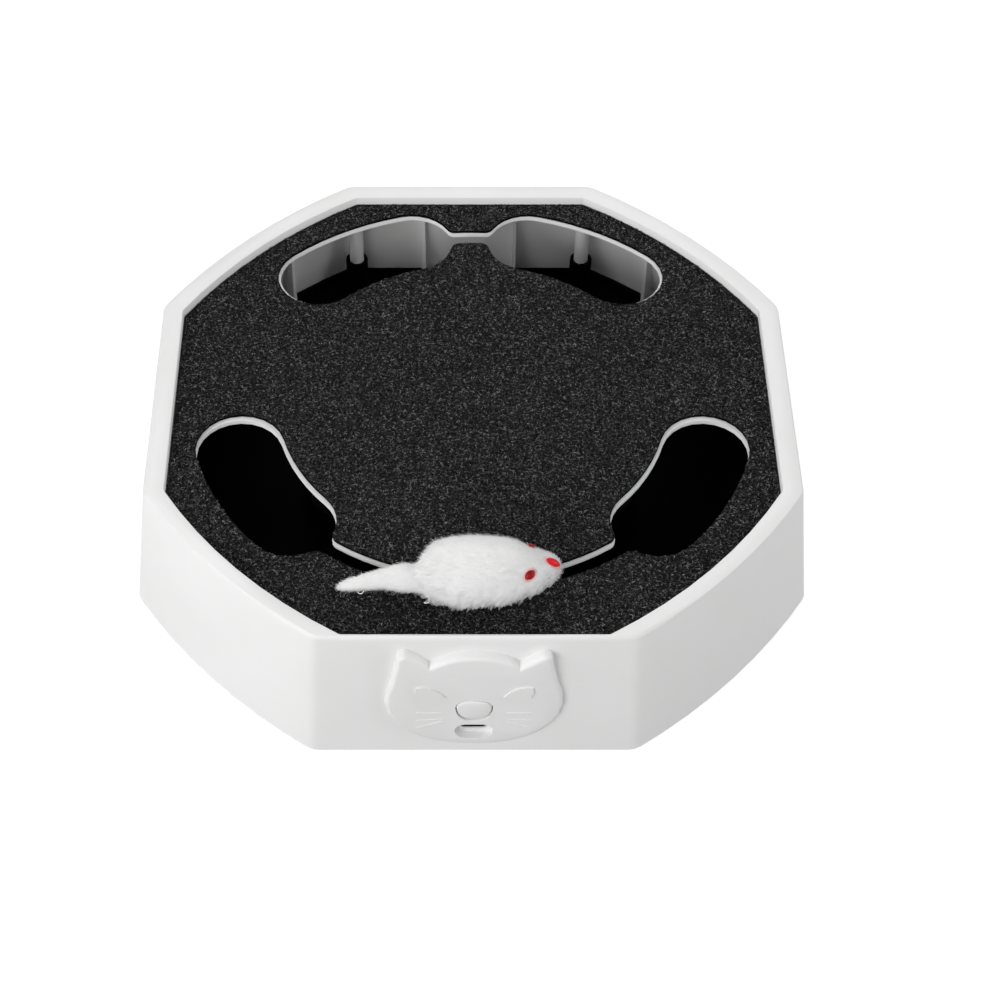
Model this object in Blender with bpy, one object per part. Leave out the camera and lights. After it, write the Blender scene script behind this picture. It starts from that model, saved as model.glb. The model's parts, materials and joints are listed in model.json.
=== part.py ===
"""Robotic mouse cat toy: an octagonal scratching box whose plush mouse runs round a slotted track.

Metres, +Z up. The finished model's origin is on the floor under the middle of the whole box, +Y points
to the back and the cat-face wall looks towards -Y. The pieces are drawn about the middle of the mat,
which lies a little nearer the front, and are moved back by CENTRE_SHIFT at the end.
"""
import math

import bmesh
import bpy
from mathutils import Matrix, Vector

# Fits
GAP = 0.0003
RUNNING = 0.0003
OVERRUN = 0.0020

# Octagon plan and housing
MAT_HALF = 0.1100
FLAT_SHARE = math.tan(math.radians(22.5))
DIAGONAL_BULGE = 0.0056
CORNER_CUT = 0.0026
RECESS_CORNER_CUT = 0.0007
CHORD_SIDES = 8
CORNER_STEPS = 3
RIM_FLARE = 0.0079
SKIRT_FLARE = 0.0142
RIM_FRONT_FLARE = 0.0021
FRONT_DIAGONAL_SHARE = 0.95
SKIRT_FRONT_FLARE = 0.0105
CENTRE_SHIFT = (SKIRT_FLARE - SKIRT_FRONT_FLARE) / 2
FOOT_PROUD = 0.0008
SKIN = 0.0024
RIM_ROUND = 0.0016
RIM_LIP_ROUND = 0.0008
RECESS_DEPTH = 0.0033
MAT_THICK = 0.0012
DECK_THICK = 0.0018
DECK_ROOM = 0.0057

# Track holes and slots, seen in plan round the turntable axis
AXIS_Y = 0.0026
TRACK_INSET = 0.0215
TRACK_R = MAT_HALF - TRACK_INSET
HOLE_END_R = 0.0161
SLOT_WIDTH = 0.0064
SLOT_FILLET = 0.0034
HOLE_SPAN = 0.0409
BACK_SLOT_HALF = 0.0044
FRONT_SLOT_HALF = 0.0535
DECK_LEDGE = 0.0006
MAT_HOLE_BACK = 0.0003
MAT_SLOT_BACK = 0.0006
SLOT_STEP_DEG = 5.0
FRONT_DEG = -90.0
BACK_DEG = 90.0

# Base pan, which closes the housing from below
PAN_LIFT = 0.0008
PAN_FLOOR = 0.0020
PAN_WALL = 0.0016
PAN_WALL_TALL = 0.0031
PAN_GAP = 0.0004
PAN_BOTTOM = FOOT_PROUD + PAN_LIFT
FLOOR_Z = PAN_BOTTOM + PAN_FLOOR
FLOOR_MIDDLE = PAN_BOTTOM + PAN_FLOOR / 2
PAN_WALL_TOP = FLOOR_Z + PAN_WALL_TALL
FOOT_R = 0.0070
FOOT_INSET = 0.0069
FOOT_SPREAD = (MAT_HALF + SKIRT_FLARE - FOOT_INSET - FOOT_R) / math.sqrt(2)

# Wall ribs, screw bosses, their sockets and the case screws
RIB_SIDE = 0.0187
RIB_THICK = 0.0018
RIB_TOP_SHARE = 0.6
RIB_DEEP = 0.0008
RIB_CLEAR = 0.0005
BOSS_R = 0.0029
BOSS_BEYOND = 0.0030
BOSS_ASIDE = 0.0009
FRONT_BOSS_INSET = 0.0035
FRONT_BOSS_ASIDE = 0.0044
BOSS_OUT = MAT_HALF + BOSS_BEYOND
BOSS_SIDE = MAT_HALF * FLAT_SHARE + BOSS_ASIDE
FRONT_BOSS_OUT = MAT_HALF - FRONT_BOSS_INSET
FRONT_BOSS_SIDE = MAT_HALF * FLAT_SHARE + FRONT_BOSS_ASIDE
SOCKET_WALL = 0.0013
SOCKET_WEB = 0.0020
SOCKET_POCKET = 0.0034
SOCKET_DEEP = 0.0120
SOCKET_BORE_R = BOSS_R + GAP
SOCKET_R = SOCKET_BORE_R + SOCKET_WALL
WEB_BOTTOM = PAN_BOTTOM + SOCKET_POCKET
WEB_TOP = WEB_BOTTOM + SOCKET_WEB
SOCKET_TOP = WEB_TOP + SOCKET_DEEP
SCREW_HEAD_R = 0.0026
SCREW_HEAD = 0.0015
SCREW_SHANK_R = 0.0011
SCREW_LENGTH = 0.0095
SCREW_DOME_SHARES = (0.7, 0.45)
SCREW_TAPER_SHARES = (0.3, 0.85)
SCREW_CROSS = 0.0022
SCREW_CROSS_WIDE = 0.0006
SCREW_CROSS_DEEP = 0.0007

# Cat-face relief on the front wall; heights are above the skirt
FACE_HALF_WIDE = 0.0307
FACE_FOOT = 0.0033
FACE_TALL = 0.0457
FACE_FOOT_PROUD = 0.0005
FACE_TOP_PROUD = 0.0041
FACE_ROUND = 0.0015
FACE_SHARES = (
    (0.0, 0.0), (0.195, 0.004), (0.39, 0.026), (0.586, 0.073), (0.75, 0.143), (0.873, 0.231),
    (0.964, 0.341), (1.0, 0.457), (0.987, 0.567), (0.938, 0.67), (0.922, 0.714), (0.896, 0.809),
    (0.871, 0.89), (0.859, 0.957), (0.849, 0.974), (0.832, 0.988), (0.808, 0.997), (0.782, 1.0),
    (0.755, 0.997), (0.732, 0.988), (0.655, 0.949), (0.586, 0.913), (0.5, 0.868), (0.423, 0.908),
    (0.3, 0.952), (0.156, 0.979), (0.0, 0.987),
)
EYE_PROUD = 0.0006
EYE_ASIDE = 0.0153
EYE_UP = 0.0274
EYE_HALF_WIDE = 0.0052
EYE_HALF_TALL = 0.0035
EYE_SHARES = (
    (-1.0, -0.48), (-0.52, 0.37), (-0.02, 0.83), (0.52, 0.97), (0.94, 0.83),
    (0.98, 0.26), (0.77, -0.49), (0.36, -0.91), (-0.14, -1.0), (-0.62, -0.83),
)
WHISKER_PROUD = 0.00015
WHISKER_WIDE = 0.0005
WHISKER_NEAR = 0.0110
WHISKER_FAR = 0.0201
WHISKER_SHARES = ((0.372, 0.372), (0.2975, 0.2825), (0.2735, 0.1948))

# Nose button, its switch, the charging port and the control board
NOSE_UP_SHARE = 0.3939
NOSE_UP = FACE_FOOT + FACE_TALL * NOSE_UP_SHARE
NOSE_HALF_WIDE = 0.0061
NOSE_TALL_SHARE = 0.1138
NOSE_HALF_TALL = FACE_TALL * NOSE_TALL_SHARE
NOSE_EGG_SHARE = 0.15
NOSE_FULL_SHARE = 0.8
NOSE_DOME_SHARES = ((1.0, 0.0), (0.93, 0.55), (0.72, 0.85), (0.36, 1.0))
NOSE_STROKE = 0.0012
NOSE_PROUD = 0.0003
NOSE_DOME = 0.0009
NOSE_FLANGE = 0.0008
NOSE_FLANGE_LIP = 0.0012
MOUTH_HALF_WIDE = 0.0068
MOUTH_TALL_SHARE = 0.0788
MOUTH_HALF_TALL = FACE_TALL * MOUTH_TALL_SHARE
MOUTH_UP_SHARE = 0.1575
MOUTH_UP = FACE_FOOT + FACE_TALL * MOUTH_UP_SHARE
MOUTH_DEEP = 0.0026
PAD_BORDER = 0.0025
PAD_BEHIND = 0.0038
PORT_HALF_WIDE = 0.0045
PORT_HALF_TALL = 0.0016
PORT_RAISE = 0.0005
PORT_SET = 0.0003
PORT_DEEP = 0.0082
PORT_SKIN = 0.0004
PORT_CAVITY = 0.0068
TONGUE_WIDE_SHARE = 0.66
TONGUE_THICK = 0.0008
BOARD_THICK = 0.0016
BOARD_HALF_WIDE = 0.0190
BOARD_LIFT = 0.0019
BOARD_TALL = 0.0245
BOARD_FOOT_Z = FLOOR_Z + BOARD_LIFT
POST_HALF_WIDE = 0.0025
POST_HALF_DEEP = 0.0032
POST_TALL = 0.0244
SWITCH_HALF = 0.0030
SWITCH_DEEP = 0.0025
SWITCH_PIN_R = 0.0017
CHIP_HALF = 0.0035
CHIP_THICK = 0.0012
CHIP_ASIDE = 0.0110
PLUG_HALF_WIDE = 0.0040
PLUG_HALF_TALL = 0.0025
PLUG_DEEP = 0.0050

# Gear motor, gears and battery
TOOTH_MODULE = 0.0012
WHEEL_TEETH = 40
PINION_TEETH = 10
TOOTH_TIP_SHARE = 0.85
TOOTH_ROOT_SHARE = 1.15
TOOTH_FACE_SHARE = 0.15
TOOTH_FOOT_SHARE = 0.42
WHEEL_R = TOOTH_MODULE * WHEEL_TEETH / 2
PINION_R = TOOTH_MODULE * PINION_TEETH / 2
GEAR_THICK = 0.0038
DRIVE_Y = AXIS_Y + WHEEL_R + PINION_R
GEARBOX_LEFT = 0.0080
GEARBOX_RIGHT = 0.0160
GEARBOX_HALF_DEEP = 0.0110
GEARBOX_SKIN = 0.0015
MOTOR_R = 0.0080
MOTOR_LENGTH = 0.0240
MOTOR_LIFT = 0.0011
MOTOR_Z = FLOOR_Z + MOTOR_LIFT + MOTOR_R
MOTOR_CAP = 0.0040
MOTOR_CAP_SHARE = 0.8
MOTOR_CAP_R = MOTOR_R * MOTOR_CAP_SHARE
MOTOR_REACH = GEARBOX_LEFT + GAP + MOTOR_LENGTH + GAP + MOTOR_CAP
GEARBOX_TOP = MOTOR_Z + MOTOR_R + GEARBOX_SKIN
DRIVE_SHAFT_R = 0.0009
DRIVE_SHAFT_SINK = 0.0038
BATTERY_R = 0.0092
BATTERY_HALF = 0.0325
BATTERY_AHEAD = 0.0245
BATTERY_LIFT = 0.0006
BATTERY_TIP_R = 0.0028
BATTERY_TIP = 0.0012
BATTERY_Y = AXIS_Y - BATTERY_AHEAD
BATTERY_Z = FLOOR_Z + BATTERY_LIFT + BATTERY_R
CRADLE_HALF = 0.0030
CRADLE_ASIDE = 0.0200
CRADLE_TALL = 0.0074
GEAR_CLEAR = 0.0006
GEAR_FOOT = max(GEARBOX_TOP, BATTERY_Z + BATTERY_R) + GEAR_CLEAR

# Spindle, turntable and mouse lever; distances out are from the turntable axis
SPINDLE_R = 0.0020
SPINDLE_SEAT = 0.0044
SPINDLE_FOOT = FLOOR_Z + SPINDLE_SEAT
SPINDLE_OVER = 0.0034
SPINDLE_BOSS_R = 0.0060
BUSH_WALL = 0.0011
BUSH_FLANGE_R = 0.0054
BUSH_FLANGE = 0.0008
CLIP_R = 0.0045
CLIP_THICK = 0.0008
TABLE_R = 0.0270
TABLE_THICK = 0.0032
HUB_WALL = 0.0028
HUB_TALL = 0.0075
BUSH_BORE_R = SPINDLE_R + RUNNING
BUSH_R = BUSH_BORE_R + BUSH_WALL
HUB_R = BUSH_R + GAP + HUB_WALL
SPINDLE_BOSS_TOP = GEAR_FOOT - BUSH_FLANGE - GAP
TABLE_LOW = GEAR_FOOT + GEAR_THICK + GAP
TABLE_TOP = TABLE_LOW + TABLE_THICK
HUB_TOP = TABLE_TOP + HUB_TALL
CLIP_LOW = HUB_TOP + GAP
SPINDLE_TOP = CLIP_LOW + CLIP_THICK + SPINDLE_OVER

# Levels of the deck, mat and rim, which close the box over the spindle
DECK_BOTTOM = SPINDLE_TOP + DECK_ROOM
DECK_MIDDLE = DECK_BOTTOM + DECK_THICK / 2
DECK_TOP = DECK_BOTTOM + DECK_THICK
MAT_BOTTOM = DECK_TOP + GAP
MAT_TOP = MAT_BOTTOM + MAT_THICK
HOUSING_TOP = MAT_TOP + RECESS_DEPTH
HOUSING_HEIGHT = HOUSING_TOP - FOOT_PROUD

# Hinge ears, mouse lever, its stem, roller and cam ring
EAR_OUT = 0.0350
EAR_THICK = 0.0026
EAR_ROUND = 0.0042
PIVOT_RISE = 0.0055
PIVOT_Z = TABLE_TOP + PIVOT_RISE
PIVOT_PIN_R = 0.0015
PIVOT_PIN_OVER = 0.0010
LEVER_HALF_ROOT = 0.0074
LEVER_HALF_TIP = 0.0048
LEVER_THICK = 0.0034
LEVER_BARREL_R = 0.0036
LEVER_TIP_OVER = 0.0040
LEVER_CLEAR = 0.0015
LEVER_UP_DEG = 5.0
EAR_HALF_SPAN = LEVER_HALF_ROOT + GAP + EAR_THICK
STEM_R = 0.0012
STEM_FLANGE_R = 0.0030
STEM_FLANGE = 0.0010
STEM_GRIP = 0.0095
STEM_LIFT = (TRACK_R - EAR_OUT) * math.sin(math.radians(LEVER_UP_DEG))
LEVER_TIP_Z = DECK_BOTTOM - LEVER_CLEAR - STEM_LIFT - STEM_FLANGE - GAP - LEVER_THICK / 2
STEM_FOOT = LEVER_TIP_Z - LEVER_THICK / 4
CAM_CLEAR = 0.00538
CAM_HALF_WIDE = 0.0030
ROLLER_OUT = math.hypot(MOTOR_REACH, DRIVE_Y - AXIS_Y + MOTOR_CAP_R) + CAM_CLEAR + CAM_HALF_WIDE
ROLLER_R = 0.0045
ROLLER_HALF_WIDE = 0.0025
ROLLER_CLEAR = 0.0005
ROLLER_PIN_R = 0.0010
FORK_THICK = 0.0016
FORK_HALF_WIDE = 0.0030
FORK_UNDER = 0.0021
CAM_LOW = 0.0054
CAM_FRONT_HIGH_DEG = 50.0
CAM_BACK_HIGH_DEG = 20.0
CAM_RAMP_DEG = 34.0
CAM_STEPS = 72
CAM_DOOR_HALF = 0.0050
CAM_DOOR_TALL = 0.0049
TWIST_WIRE_R = 0.00035
TWIST_R = 0.0025
TWIST_TURNS = 3
TWIST_SPAN_SHARE = 0.55
TWIST_ROOM_SHARE = 1.3
PUSH_WIRE_R = 0.00025
PUSH_R = 0.0048
PUSH_TURNS = 3
CURL_STEPS = 12
WIRE_SIDES = 5
LEAD_R = 0.0009
LEAD_ASIDE = 0.0025
LEAD_Z = FLOOR_Z + GAP + LEAD_R

# Plush mouse over the front slot; it faces +X
MOUSE_HOVER = 0.0013
MOUSE_AHEAD = 0.0010
MOUSE_OUT = 0.0048
BODY_HALF_LONG = 0.0185
BODY_HALF_WIDE = 0.0130
BODY_HALF_TALL = 0.0112
BODY_YAW_DEG = 3.0
HEAD_SINK = 0.0019
HEAD_IN = 0.0011
HEAD_DOWN = 0.0010
HEAD_HALF_LONG = 0.0106
HEAD_HALF_WIDE = 0.0090
HEAD_HALF_TALL = 0.0086
HEAD_YAW_DEG = 8.0
SNOUT_SHARE = 0.40
TAIL_SINK = 0.0055
TAIL_LONG = 0.0345
TAIL_DROP = 0.0063
TAIL_DRIFT = 0.0035
TAIL_UNDER = 0.0020
TAIL_R = 0.0070
TAIL_SHARES = (
    (0.0, 0.0, 1.0), (0.23, 0.19, 0.86), (0.52, 0.51, 0.66), (0.78, 0.79, 0.43), (1.0, 1.0, 0.17),
)
MOUSE_EYE_HALF = 0.0019
MOUSE_EYE_SHARE = 0.63
EYE_TURN_DEG = 88.0
EYE_RAISE_DEG = 44.0
MOUSE_NOSE_HALF = 0.0019
MOUSE_NOSE_DEEP_SHARE = 0.68
MOUSE_NOSE_TALL_SHARE = 0.79
NOSE_RAISE_DEG = 14.0
BALL_SIDES = 18
BEAD_SIDES = 12

BODY_CENTRE = (MOUSE_AHEAD, AXIS_Y - TRACK_R - MOUSE_OUT, MAT_TOP + MOUSE_HOVER + BODY_HALF_TALL)
BODY_HALF = (BODY_HALF_LONG, BODY_HALF_WIDE, BODY_HALF_TALL)
HEAD_CENTRE = (BODY_CENTRE[0] + BODY_HALF_LONG - HEAD_SINK, BODY_CENTRE[1] + HEAD_IN,
               BODY_CENTRE[2] - HEAD_DOWN)
HEAD_HALF = (HEAD_HALF_LONG, HEAD_HALF_WIDE, HEAD_HALF_TALL)
STEM_TOP = MAT_TOP + MOUSE_HOVER + STEM_GRIP
MOUSE_EYE = (MOUSE_EYE_HALF, MOUSE_EYE_HALF * MOUSE_EYE_SHARE, MOUSE_EYE_HALF * MOUSE_EYE_SHARE)
MOUSE_NOSE = (MOUSE_NOSE_HALF * MOUSE_NOSE_DEEP_SHARE, MOUSE_NOSE_HALF,
              MOUSE_NOSE_HALF * MOUSE_NOSE_TALL_SHARE)

ROUND_SIDES = 24
SMALL_SIDES = 14
SMOOTH_DEG = 32.0
MERGE = 1e-7


def clear_scene():
    for item in list(bpy.data.objects):
        bpy.data.objects.remove(item, do_unlink=True)


def material(name, colour, roughness, metallic=0.0):
    found = bpy.data.materials.get(name)
    if found:
        return found
    made = bpy.data.materials.new(name)
    made.use_nodes = True
    shader = made.node_tree.nodes["Principled BSDF"]
    shader.inputs["Base Color"].default_value = (*colour, 1.0)
    shader.inputs["Roughness"].default_value = roughness
    shader.inputs["Metallic"].default_value = metallic
    return made


WHITE = ("white_plastic", (0.86, 0.86, 0.85), 0.45)
BLACK = ("black_plastic", (0.012, 0.012, 0.013), 0.55)
CREAM = ("natural_nylon", (0.74, 0.72, 0.66), 0.5)
FELT = ("charcoal_felt", (0.030, 0.030, 0.032), 0.95)
STEEL = ("bright_steel", (0.62, 0.62, 0.63), 0.3, 1.0)
BRASS = ("bearing_brass", (0.72, 0.52, 0.24), 0.35, 1.0)
RUBBER = ("foot_rubber", (0.03, 0.03, 0.03), 0.85)
BOARD = ("board_green", (0.02, 0.13, 0.06), 0.5)
CELL = ("battery_wrap", (0.05, 0.16, 0.40), 0.4)
FUR = ("mouse_fur", (0.88, 0.87, 0.86), 0.95)
RED = ("mouse_red", (0.72, 0.02, 0.03), 0.25)
LEAD = ("lead_red", (0.55, 0.03, 0.03), 0.5)


def from_bmesh(name, bm, look):
    """Turn a bmesh into a named object with its own material and outward faces."""
    bmesh.ops.remove_doubles(bm, verts=bm.verts, dist=MERGE)
    bmesh.ops.recalc_face_normals(bm, faces=bm.faces)
    mesh = bpy.data.meshes.new(name)
    bm.to_mesh(mesh)
    bm.free()
    mesh.materials.append(material(*look))
    item = bpy.data.objects.new(name, mesh)
    bpy.context.scene.collection.objects.link(item)
    return item


def smooth(item):
    for face in item.data.polygons:
        face.use_smooth = True
    item.data.set_sharp_from_angle(angle=math.radians(SMOOTH_DEG))


def rings_body(name, rings, look, closed=False):
    """Closed body through rings of equal point count, capped at both ends or joined end to start."""
    bm = bmesh.new()
    loops = [[bm.verts.new(point) for point in ring] for ring in rings]
    count = len(rings[0])
    pairs = list(zip(loops, loops[1:]))
    if closed:
        pairs.append((loops[-1], loops[0]))
    for low, high in pairs:
        for index in range(count):
            after = (index + 1) % count
            bm.faces.new((low[index], low[after], high[after], high[index]))
    if not closed:
        bm.faces.new(list(reversed(loops[0])))
        bm.faces.new(loops[-1])
    return from_bmesh(name, bm, look)


def at_height(outline, z):
    return [(x, y, z) for x, y in outline]


def prism(name, outline, low, high, look):
    return rings_body(name, [at_height(outline, low), at_height(outline, high)], look)


def facing_prism(name, outline, near, far, look):
    """Prism of an (x, z) outline that runs along Y."""
    rings = [[(x, y, z) for x, z in outline] for y in (near, far)]
    return rings_body(name, rings, look)


def circle(radius, at=(0.0, 0.0), sides=ROUND_SIDES):
    turn = math.tau / sides
    return [(at[0] + radius * math.cos(i * turn), at[1] + radius * math.sin(i * turn))
            for i in range(sides)]


def cylinder(name, radius, low, high, look, at=(0.0, 0.0), sides=ROUND_SIDES):
    return prism(name, circle(radius, at, sides), low, high, look)


def turned(name, profile, look, at=(0.0, 0.0), sides=ROUND_SIDES, closed=False):
    """Body of revolution about a vertical line from (radius, z) points."""
    rings = [at_height(circle(radius, at, sides), z) for radius, z in profile]
    return rings_body(name, rings, look, closed)


def rectangle(x0, x1, y0, y1):
    return [(x0, y0), (x1, y0), (x1, y1), (x0, y1)]


def block(name, x0, x1, y0, y1, z0, z1, look):
    return prism(name, rectangle(x0, x1, y0, y1), z0, z1, look)


def turn_object(item, matrix):
    item.data.transform(matrix)
    item.data.update()


def lay_along(item, axis, centre):
    """Turn a body built upright at the origin to run along X or Y, then move it to its place."""
    quarter = math.pi / 2
    spin = Matrix.Rotation(quarter, 4, "Y") if axis == "X" else Matrix.Rotation(-quarter, 4, "X")
    turn_object(item, Matrix.Translation(centre) @ spin)
    return item


def combine(target, others, operation):
    """Cut or add bodies to a target and drop the helpers."""
    for other in others:
        step = target.modifiers.new("combine", "BOOLEAN")
        step.operation = operation
        step.object = other
        shape = target.evaluated_get(bpy.context.evaluated_depsgraph_get())
        made = bpy.data.meshes.new_from_object(shape)
        target.modifiers.clear()
        old = target.data
        made.materials.clear()
        made.materials.append(old.materials[0])
        for face in made.polygons:
            face.material_index = 0
        target.data = made
        bpy.data.meshes.remove(old)
        bpy.data.objects.remove(other, do_unlink=True)
    target.data.name = target.name
    return target


def cut(target, *others):
    return combine(target, others, "DIFFERENCE")


def add(target, *others):
    return combine(target, others, "UNION")


def set_origin(item, point):
    """Put the object's origin on its joint without moving its shape."""
    item.data.transform(Matrix.Translation(-Vector(point)))
    item.location = point


def diagonal_set_back(flare, front_flare):
    """How far the front diagonals lie behind a regular octagon's, along Y; not at all at the skirt's foot."""
    return FRONT_DIAGONAL_SHARE * max(0.0, flare - front_flare - 2 * CENTRE_SHIFT)


def octagon(flare, front_flare, corner_cut=CORNER_CUT):
    """Regular octagon with bulged diagonals, softened corners and its front walls set back."""
    half = MAT_HALF + flare
    side = half * FLAT_SHARE
    front = MAT_HALF + front_flare
    run = half - side
    lift = DIAGONAL_BULGE / math.sqrt(2)
    slope = run - 4 * lift
    set_back = diagonal_set_back(flare, front_flare)
    start = (math.sqrt(slope * slope + 16 * lift * (half - front - set_back)) - slope) / (8 * lift)

    def front_diagonal(t):
        swell = 4 * t * (1 - t) * lift
        return Vector((side + run * t + swell, set_back - half + run * t - swell))

    def back_diagonal(t):
        swell = 4 * t * (1 - t) * lift
        return Vector((half - run * t + swell, side + run * t + swell))

    chords = [i / CHORD_SIDES for i in range(CHORD_SIDES + 1)]
    right = [front_diagonal(start + (1 - start) * t) for t in chords]
    right += [back_diagonal(t) for t in chords]
    left = [Vector((-p.x, p.y)) for p in reversed(right)]
    path = right + left
    corners = {0, CHORD_SIDES, CHORD_SIDES + 1, 2 * CHORD_SIDES + 1}
    corners |= {len(path) - 1 - i for i in corners}
    points = []
    for index, point in enumerate(path):
        if index not in corners:
            points.append((point.x, point.y))
            continue
        before = path[index - 1]
        after = path[(index + 1) % len(path)]
        enter = point + (before - point).normalized() * corner_cut
        leave = point + (after - point).normalized() * corner_cut
        for step in range(CORNER_STEPS + 1):
            t = step / CORNER_STEPS
            bend = enter * (1 - t) ** 2 + point * 2 * t * (1 - t) + leave * t * t
            points.append((bend.x, bend.y))
    return points


def wall_flares(z, inset=0.0):
    """Flare of the drafted outer wall at a height, less an inset."""
    share = (HOUSING_TOP - z) / HOUSING_HEIGHT
    side = RIM_FLARE + (SKIRT_FLARE - RIM_FLARE) * share
    front = RIM_FRONT_FLARE + (SKIRT_FRONT_FLARE - RIM_FRONT_FLARE) * share
    return side - inset, front - inset


def arc(centre, radius, start, end, steps):
    """Points on an arc between two angles in radians, both ends included."""
    return [(centre[0] + radius * math.cos(start + (end - start) * i / steps),
             centre[1] + radius * math.sin(start + (end - start) * i / steps))
            for i in range(steps + 1)]


def track_outline(slot_half, hole_ledge, slot_ledge):
    """A slot with a bean hole at each end, symmetric about the +X direction, turntable axis at 0.

    The ledges move the holes' and the slot's inner sides outwards; below zero they cut them back.
    """
    outer = TRACK_R + SLOT_WIDTH / 2
    inner = TRACK_R - SLOT_WIDTH / 2 + slot_ledge
    end_r = HOLE_END_R - hole_ledge / 2
    middle_r = TRACK_R + hole_ledge / 2
    reach = end_r + SLOT_FILLET
    out_r = outer + SLOT_FILLET
    in_r = inner - SLOT_FILLET
    out_turn = math.acos((middle_r ** 2 + out_r ** 2 - reach ** 2) / (2 * middle_r * out_r))
    in_turn = math.acos((middle_r ** 2 + in_r ** 2 - reach ** 2) / (2 * middle_r * in_r))
    near = slot_half / middle_r + in_turn
    far = near + HOLE_SPAN / middle_r
    near_end = Vector((middle_r * math.cos(near), middle_r * math.sin(near)))
    far_end = Vector((middle_r * math.cos(far), middle_r * math.sin(far)))
    out_angle = near - out_turn
    in_angle = near - in_turn
    out_fillet = Vector((out_r * math.cos(out_angle), out_r * math.sin(out_angle)))
    in_fillet = Vector((in_r * math.cos(in_angle), in_r * math.sin(in_angle)))
    half_turn = math.pi
    out_touch = near_end - out_fillet
    in_touch = in_fillet - near_end
    out_touch_angle = math.atan2(out_touch.y, out_touch.x)
    in_touch_angle = math.atan2(in_touch.y, in_touch.x)
    slot_steps = max(2, round(math.degrees(near) / SLOT_STEP_DEG))
    points = arc((0.0, 0.0), outer, 0.0, out_angle, slot_steps)[:-1]
    leave = out_angle + half_turn
    points += arc(out_fillet, SLOT_FILLET, leave, unwrap(out_touch_angle, leave), 4)
    start = unwrap(out_touch_angle + half_turn, near - half_turn / 2)
    points += arc(near_end, end_r, start, near, 6)[1:-1]
    points += arc((0.0, 0.0), middle_r + end_r, near, far, 7)[:-1]
    points += arc(far_end, end_r, far, far + half_turn, 12)[:-1]
    points += arc((0.0, 0.0), middle_r - end_r, far, near, 6)[:-1]
    end = unwrap(in_touch_angle, near - half_turn / 2)
    points += arc(near_end, end_r, near - half_turn, end, 6)[:-1]
    leave = unwrap(in_touch_angle + half_turn, in_angle)
    points += arc(in_fillet, SLOT_FILLET, leave, in_angle, 4)
    points += arc((0.0, 0.0), inner, in_angle, 0.0, slot_steps)[1:]
    mirror = [(x, -y) for x, y in reversed(points[1:-1])]
    return points + mirror


def unwrap(angle, near):
    """The same direction, within half a turn of another angle."""
    while angle - near > math.pi:
        angle -= math.tau
    while near - angle > math.pi:
        angle += math.tau
    return angle


def about_axis(outline, direction_deg):
    """Turn an outline round the origin and move it to the turntable axis."""
    turn = math.radians(direction_deg)
    return [(x * math.cos(turn) - y * math.sin(turn), AXIS_Y + x * math.sin(turn) + y * math.cos(turn))
            for x, y in outline]


def track_cutters(low, high, hole_ledge, slot_ledge=0.0):
    front = about_axis(track_outline(FRONT_SLOT_HALF, hole_ledge, slot_ledge), FRONT_DEG)
    back = about_axis(track_outline(BACK_SLOT_HALF, hole_ledge, slot_ledge), BACK_DEG)
    return [prism("track_cutter", outline, low, high, WHITE) for outline in (front, back)]


def boss_places():
    side, out = BOSS_SIDE, BOSS_OUT
    places = [(side, out), (-side, out), (out, side), (-out, side), (out, -side), (-out, -side)]
    places += [(FRONT_BOSS_SIDE, -FRONT_BOSS_OUT), (-FRONT_BOSS_SIDE, -FRONT_BOSS_OUT)]
    return places


def rib(middle, along):
    """A wall rib at a distance along one side; middle is the side's outward direction in degrees.

    Its inner edge is upright, so it deepens with the wall's slope, and it widens towards its foot.
    """
    turn = math.radians(middle)
    out = Vector((math.cos(turn), math.sin(turn)))
    side = Vector((-out.y, out.x))
    diagonal = middle % 90 != 0
    rings = []
    inner = None
    for z, wide_share in ((DECK_MIDDLE, RIB_TOP_SHARE), (PAN_WALL_TOP + RIB_CLEAR, 1.0)):
        flare, front_flare = wall_flares(z, SKIN)
        half = MAT_HALF + flare
        if diagonal and out.y < 0:
            half -= diagonal_set_back(flare, front_flare) / math.sqrt(2)
        chord = half * (1 - FLAT_SHARE) / math.sqrt(2)
        swell = DIAGONAL_BULGE * (1 - (along / chord) ** 2) if diagonal else 0.0
        outer = half + swell + SKIN / 2
        inner = inner or half + swell - RIB_DEEP
        half_thick = RIB_THICK * wide_share / 2
        corners = ((inner, -half_thick), (outer, -half_thick), (outer, half_thick), (inner, half_thick))
        rings.append([(*(out * place + side * (along + aside)), z) for place, aside in corners])
    return rings_body("rib", rings[::-1], WHITE)


def front_wall_y(z, inset=0.0):
    """Depth of the front wall's outer face at a height above the floor, less an inset."""
    return -MAT_HALF - wall_flares(z, inset)[1]


def face_y(z):
    """Depth of the drafted relief face at a height above the floor."""
    share = (z - FOOT_PROUD - FACE_FOOT) / FACE_TALL
    return front_wall_y(z) - FACE_FOOT_PROUD - (FACE_TOP_PROUD - FACE_FOOT_PROUD) * share


# Depths of the front pieces, from the wall inwards
NOSE_Z = FOOT_PROUD + NOSE_UP
MOUTH_Z = FOOT_PROUD + MOUTH_UP
PORT_Z = MOUTH_Z + PORT_RAISE
FLANGE_FRONT_Y = front_wall_y(NOSE_Z, SKIN) + GAP
FLANGE_BACK_Y = FLANGE_FRONT_Y + NOSE_FLANGE
MOUTH_FLOOR_Y = face_y(MOUTH_Z) + MOUTH_DEEP
PAD_BACK_Y = MOUTH_FLOOR_Y + PAD_BEHIND
PORT_FRONT_Y = MOUTH_FLOOR_Y + PORT_SET
PORT_BACK_Y = PORT_FRONT_Y + PORT_DEEP
BOARD_FRONT_Y = PORT_BACK_Y + GAP
BOARD_BACK_Y = BOARD_FRONT_Y + BOARD_THICK


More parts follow.
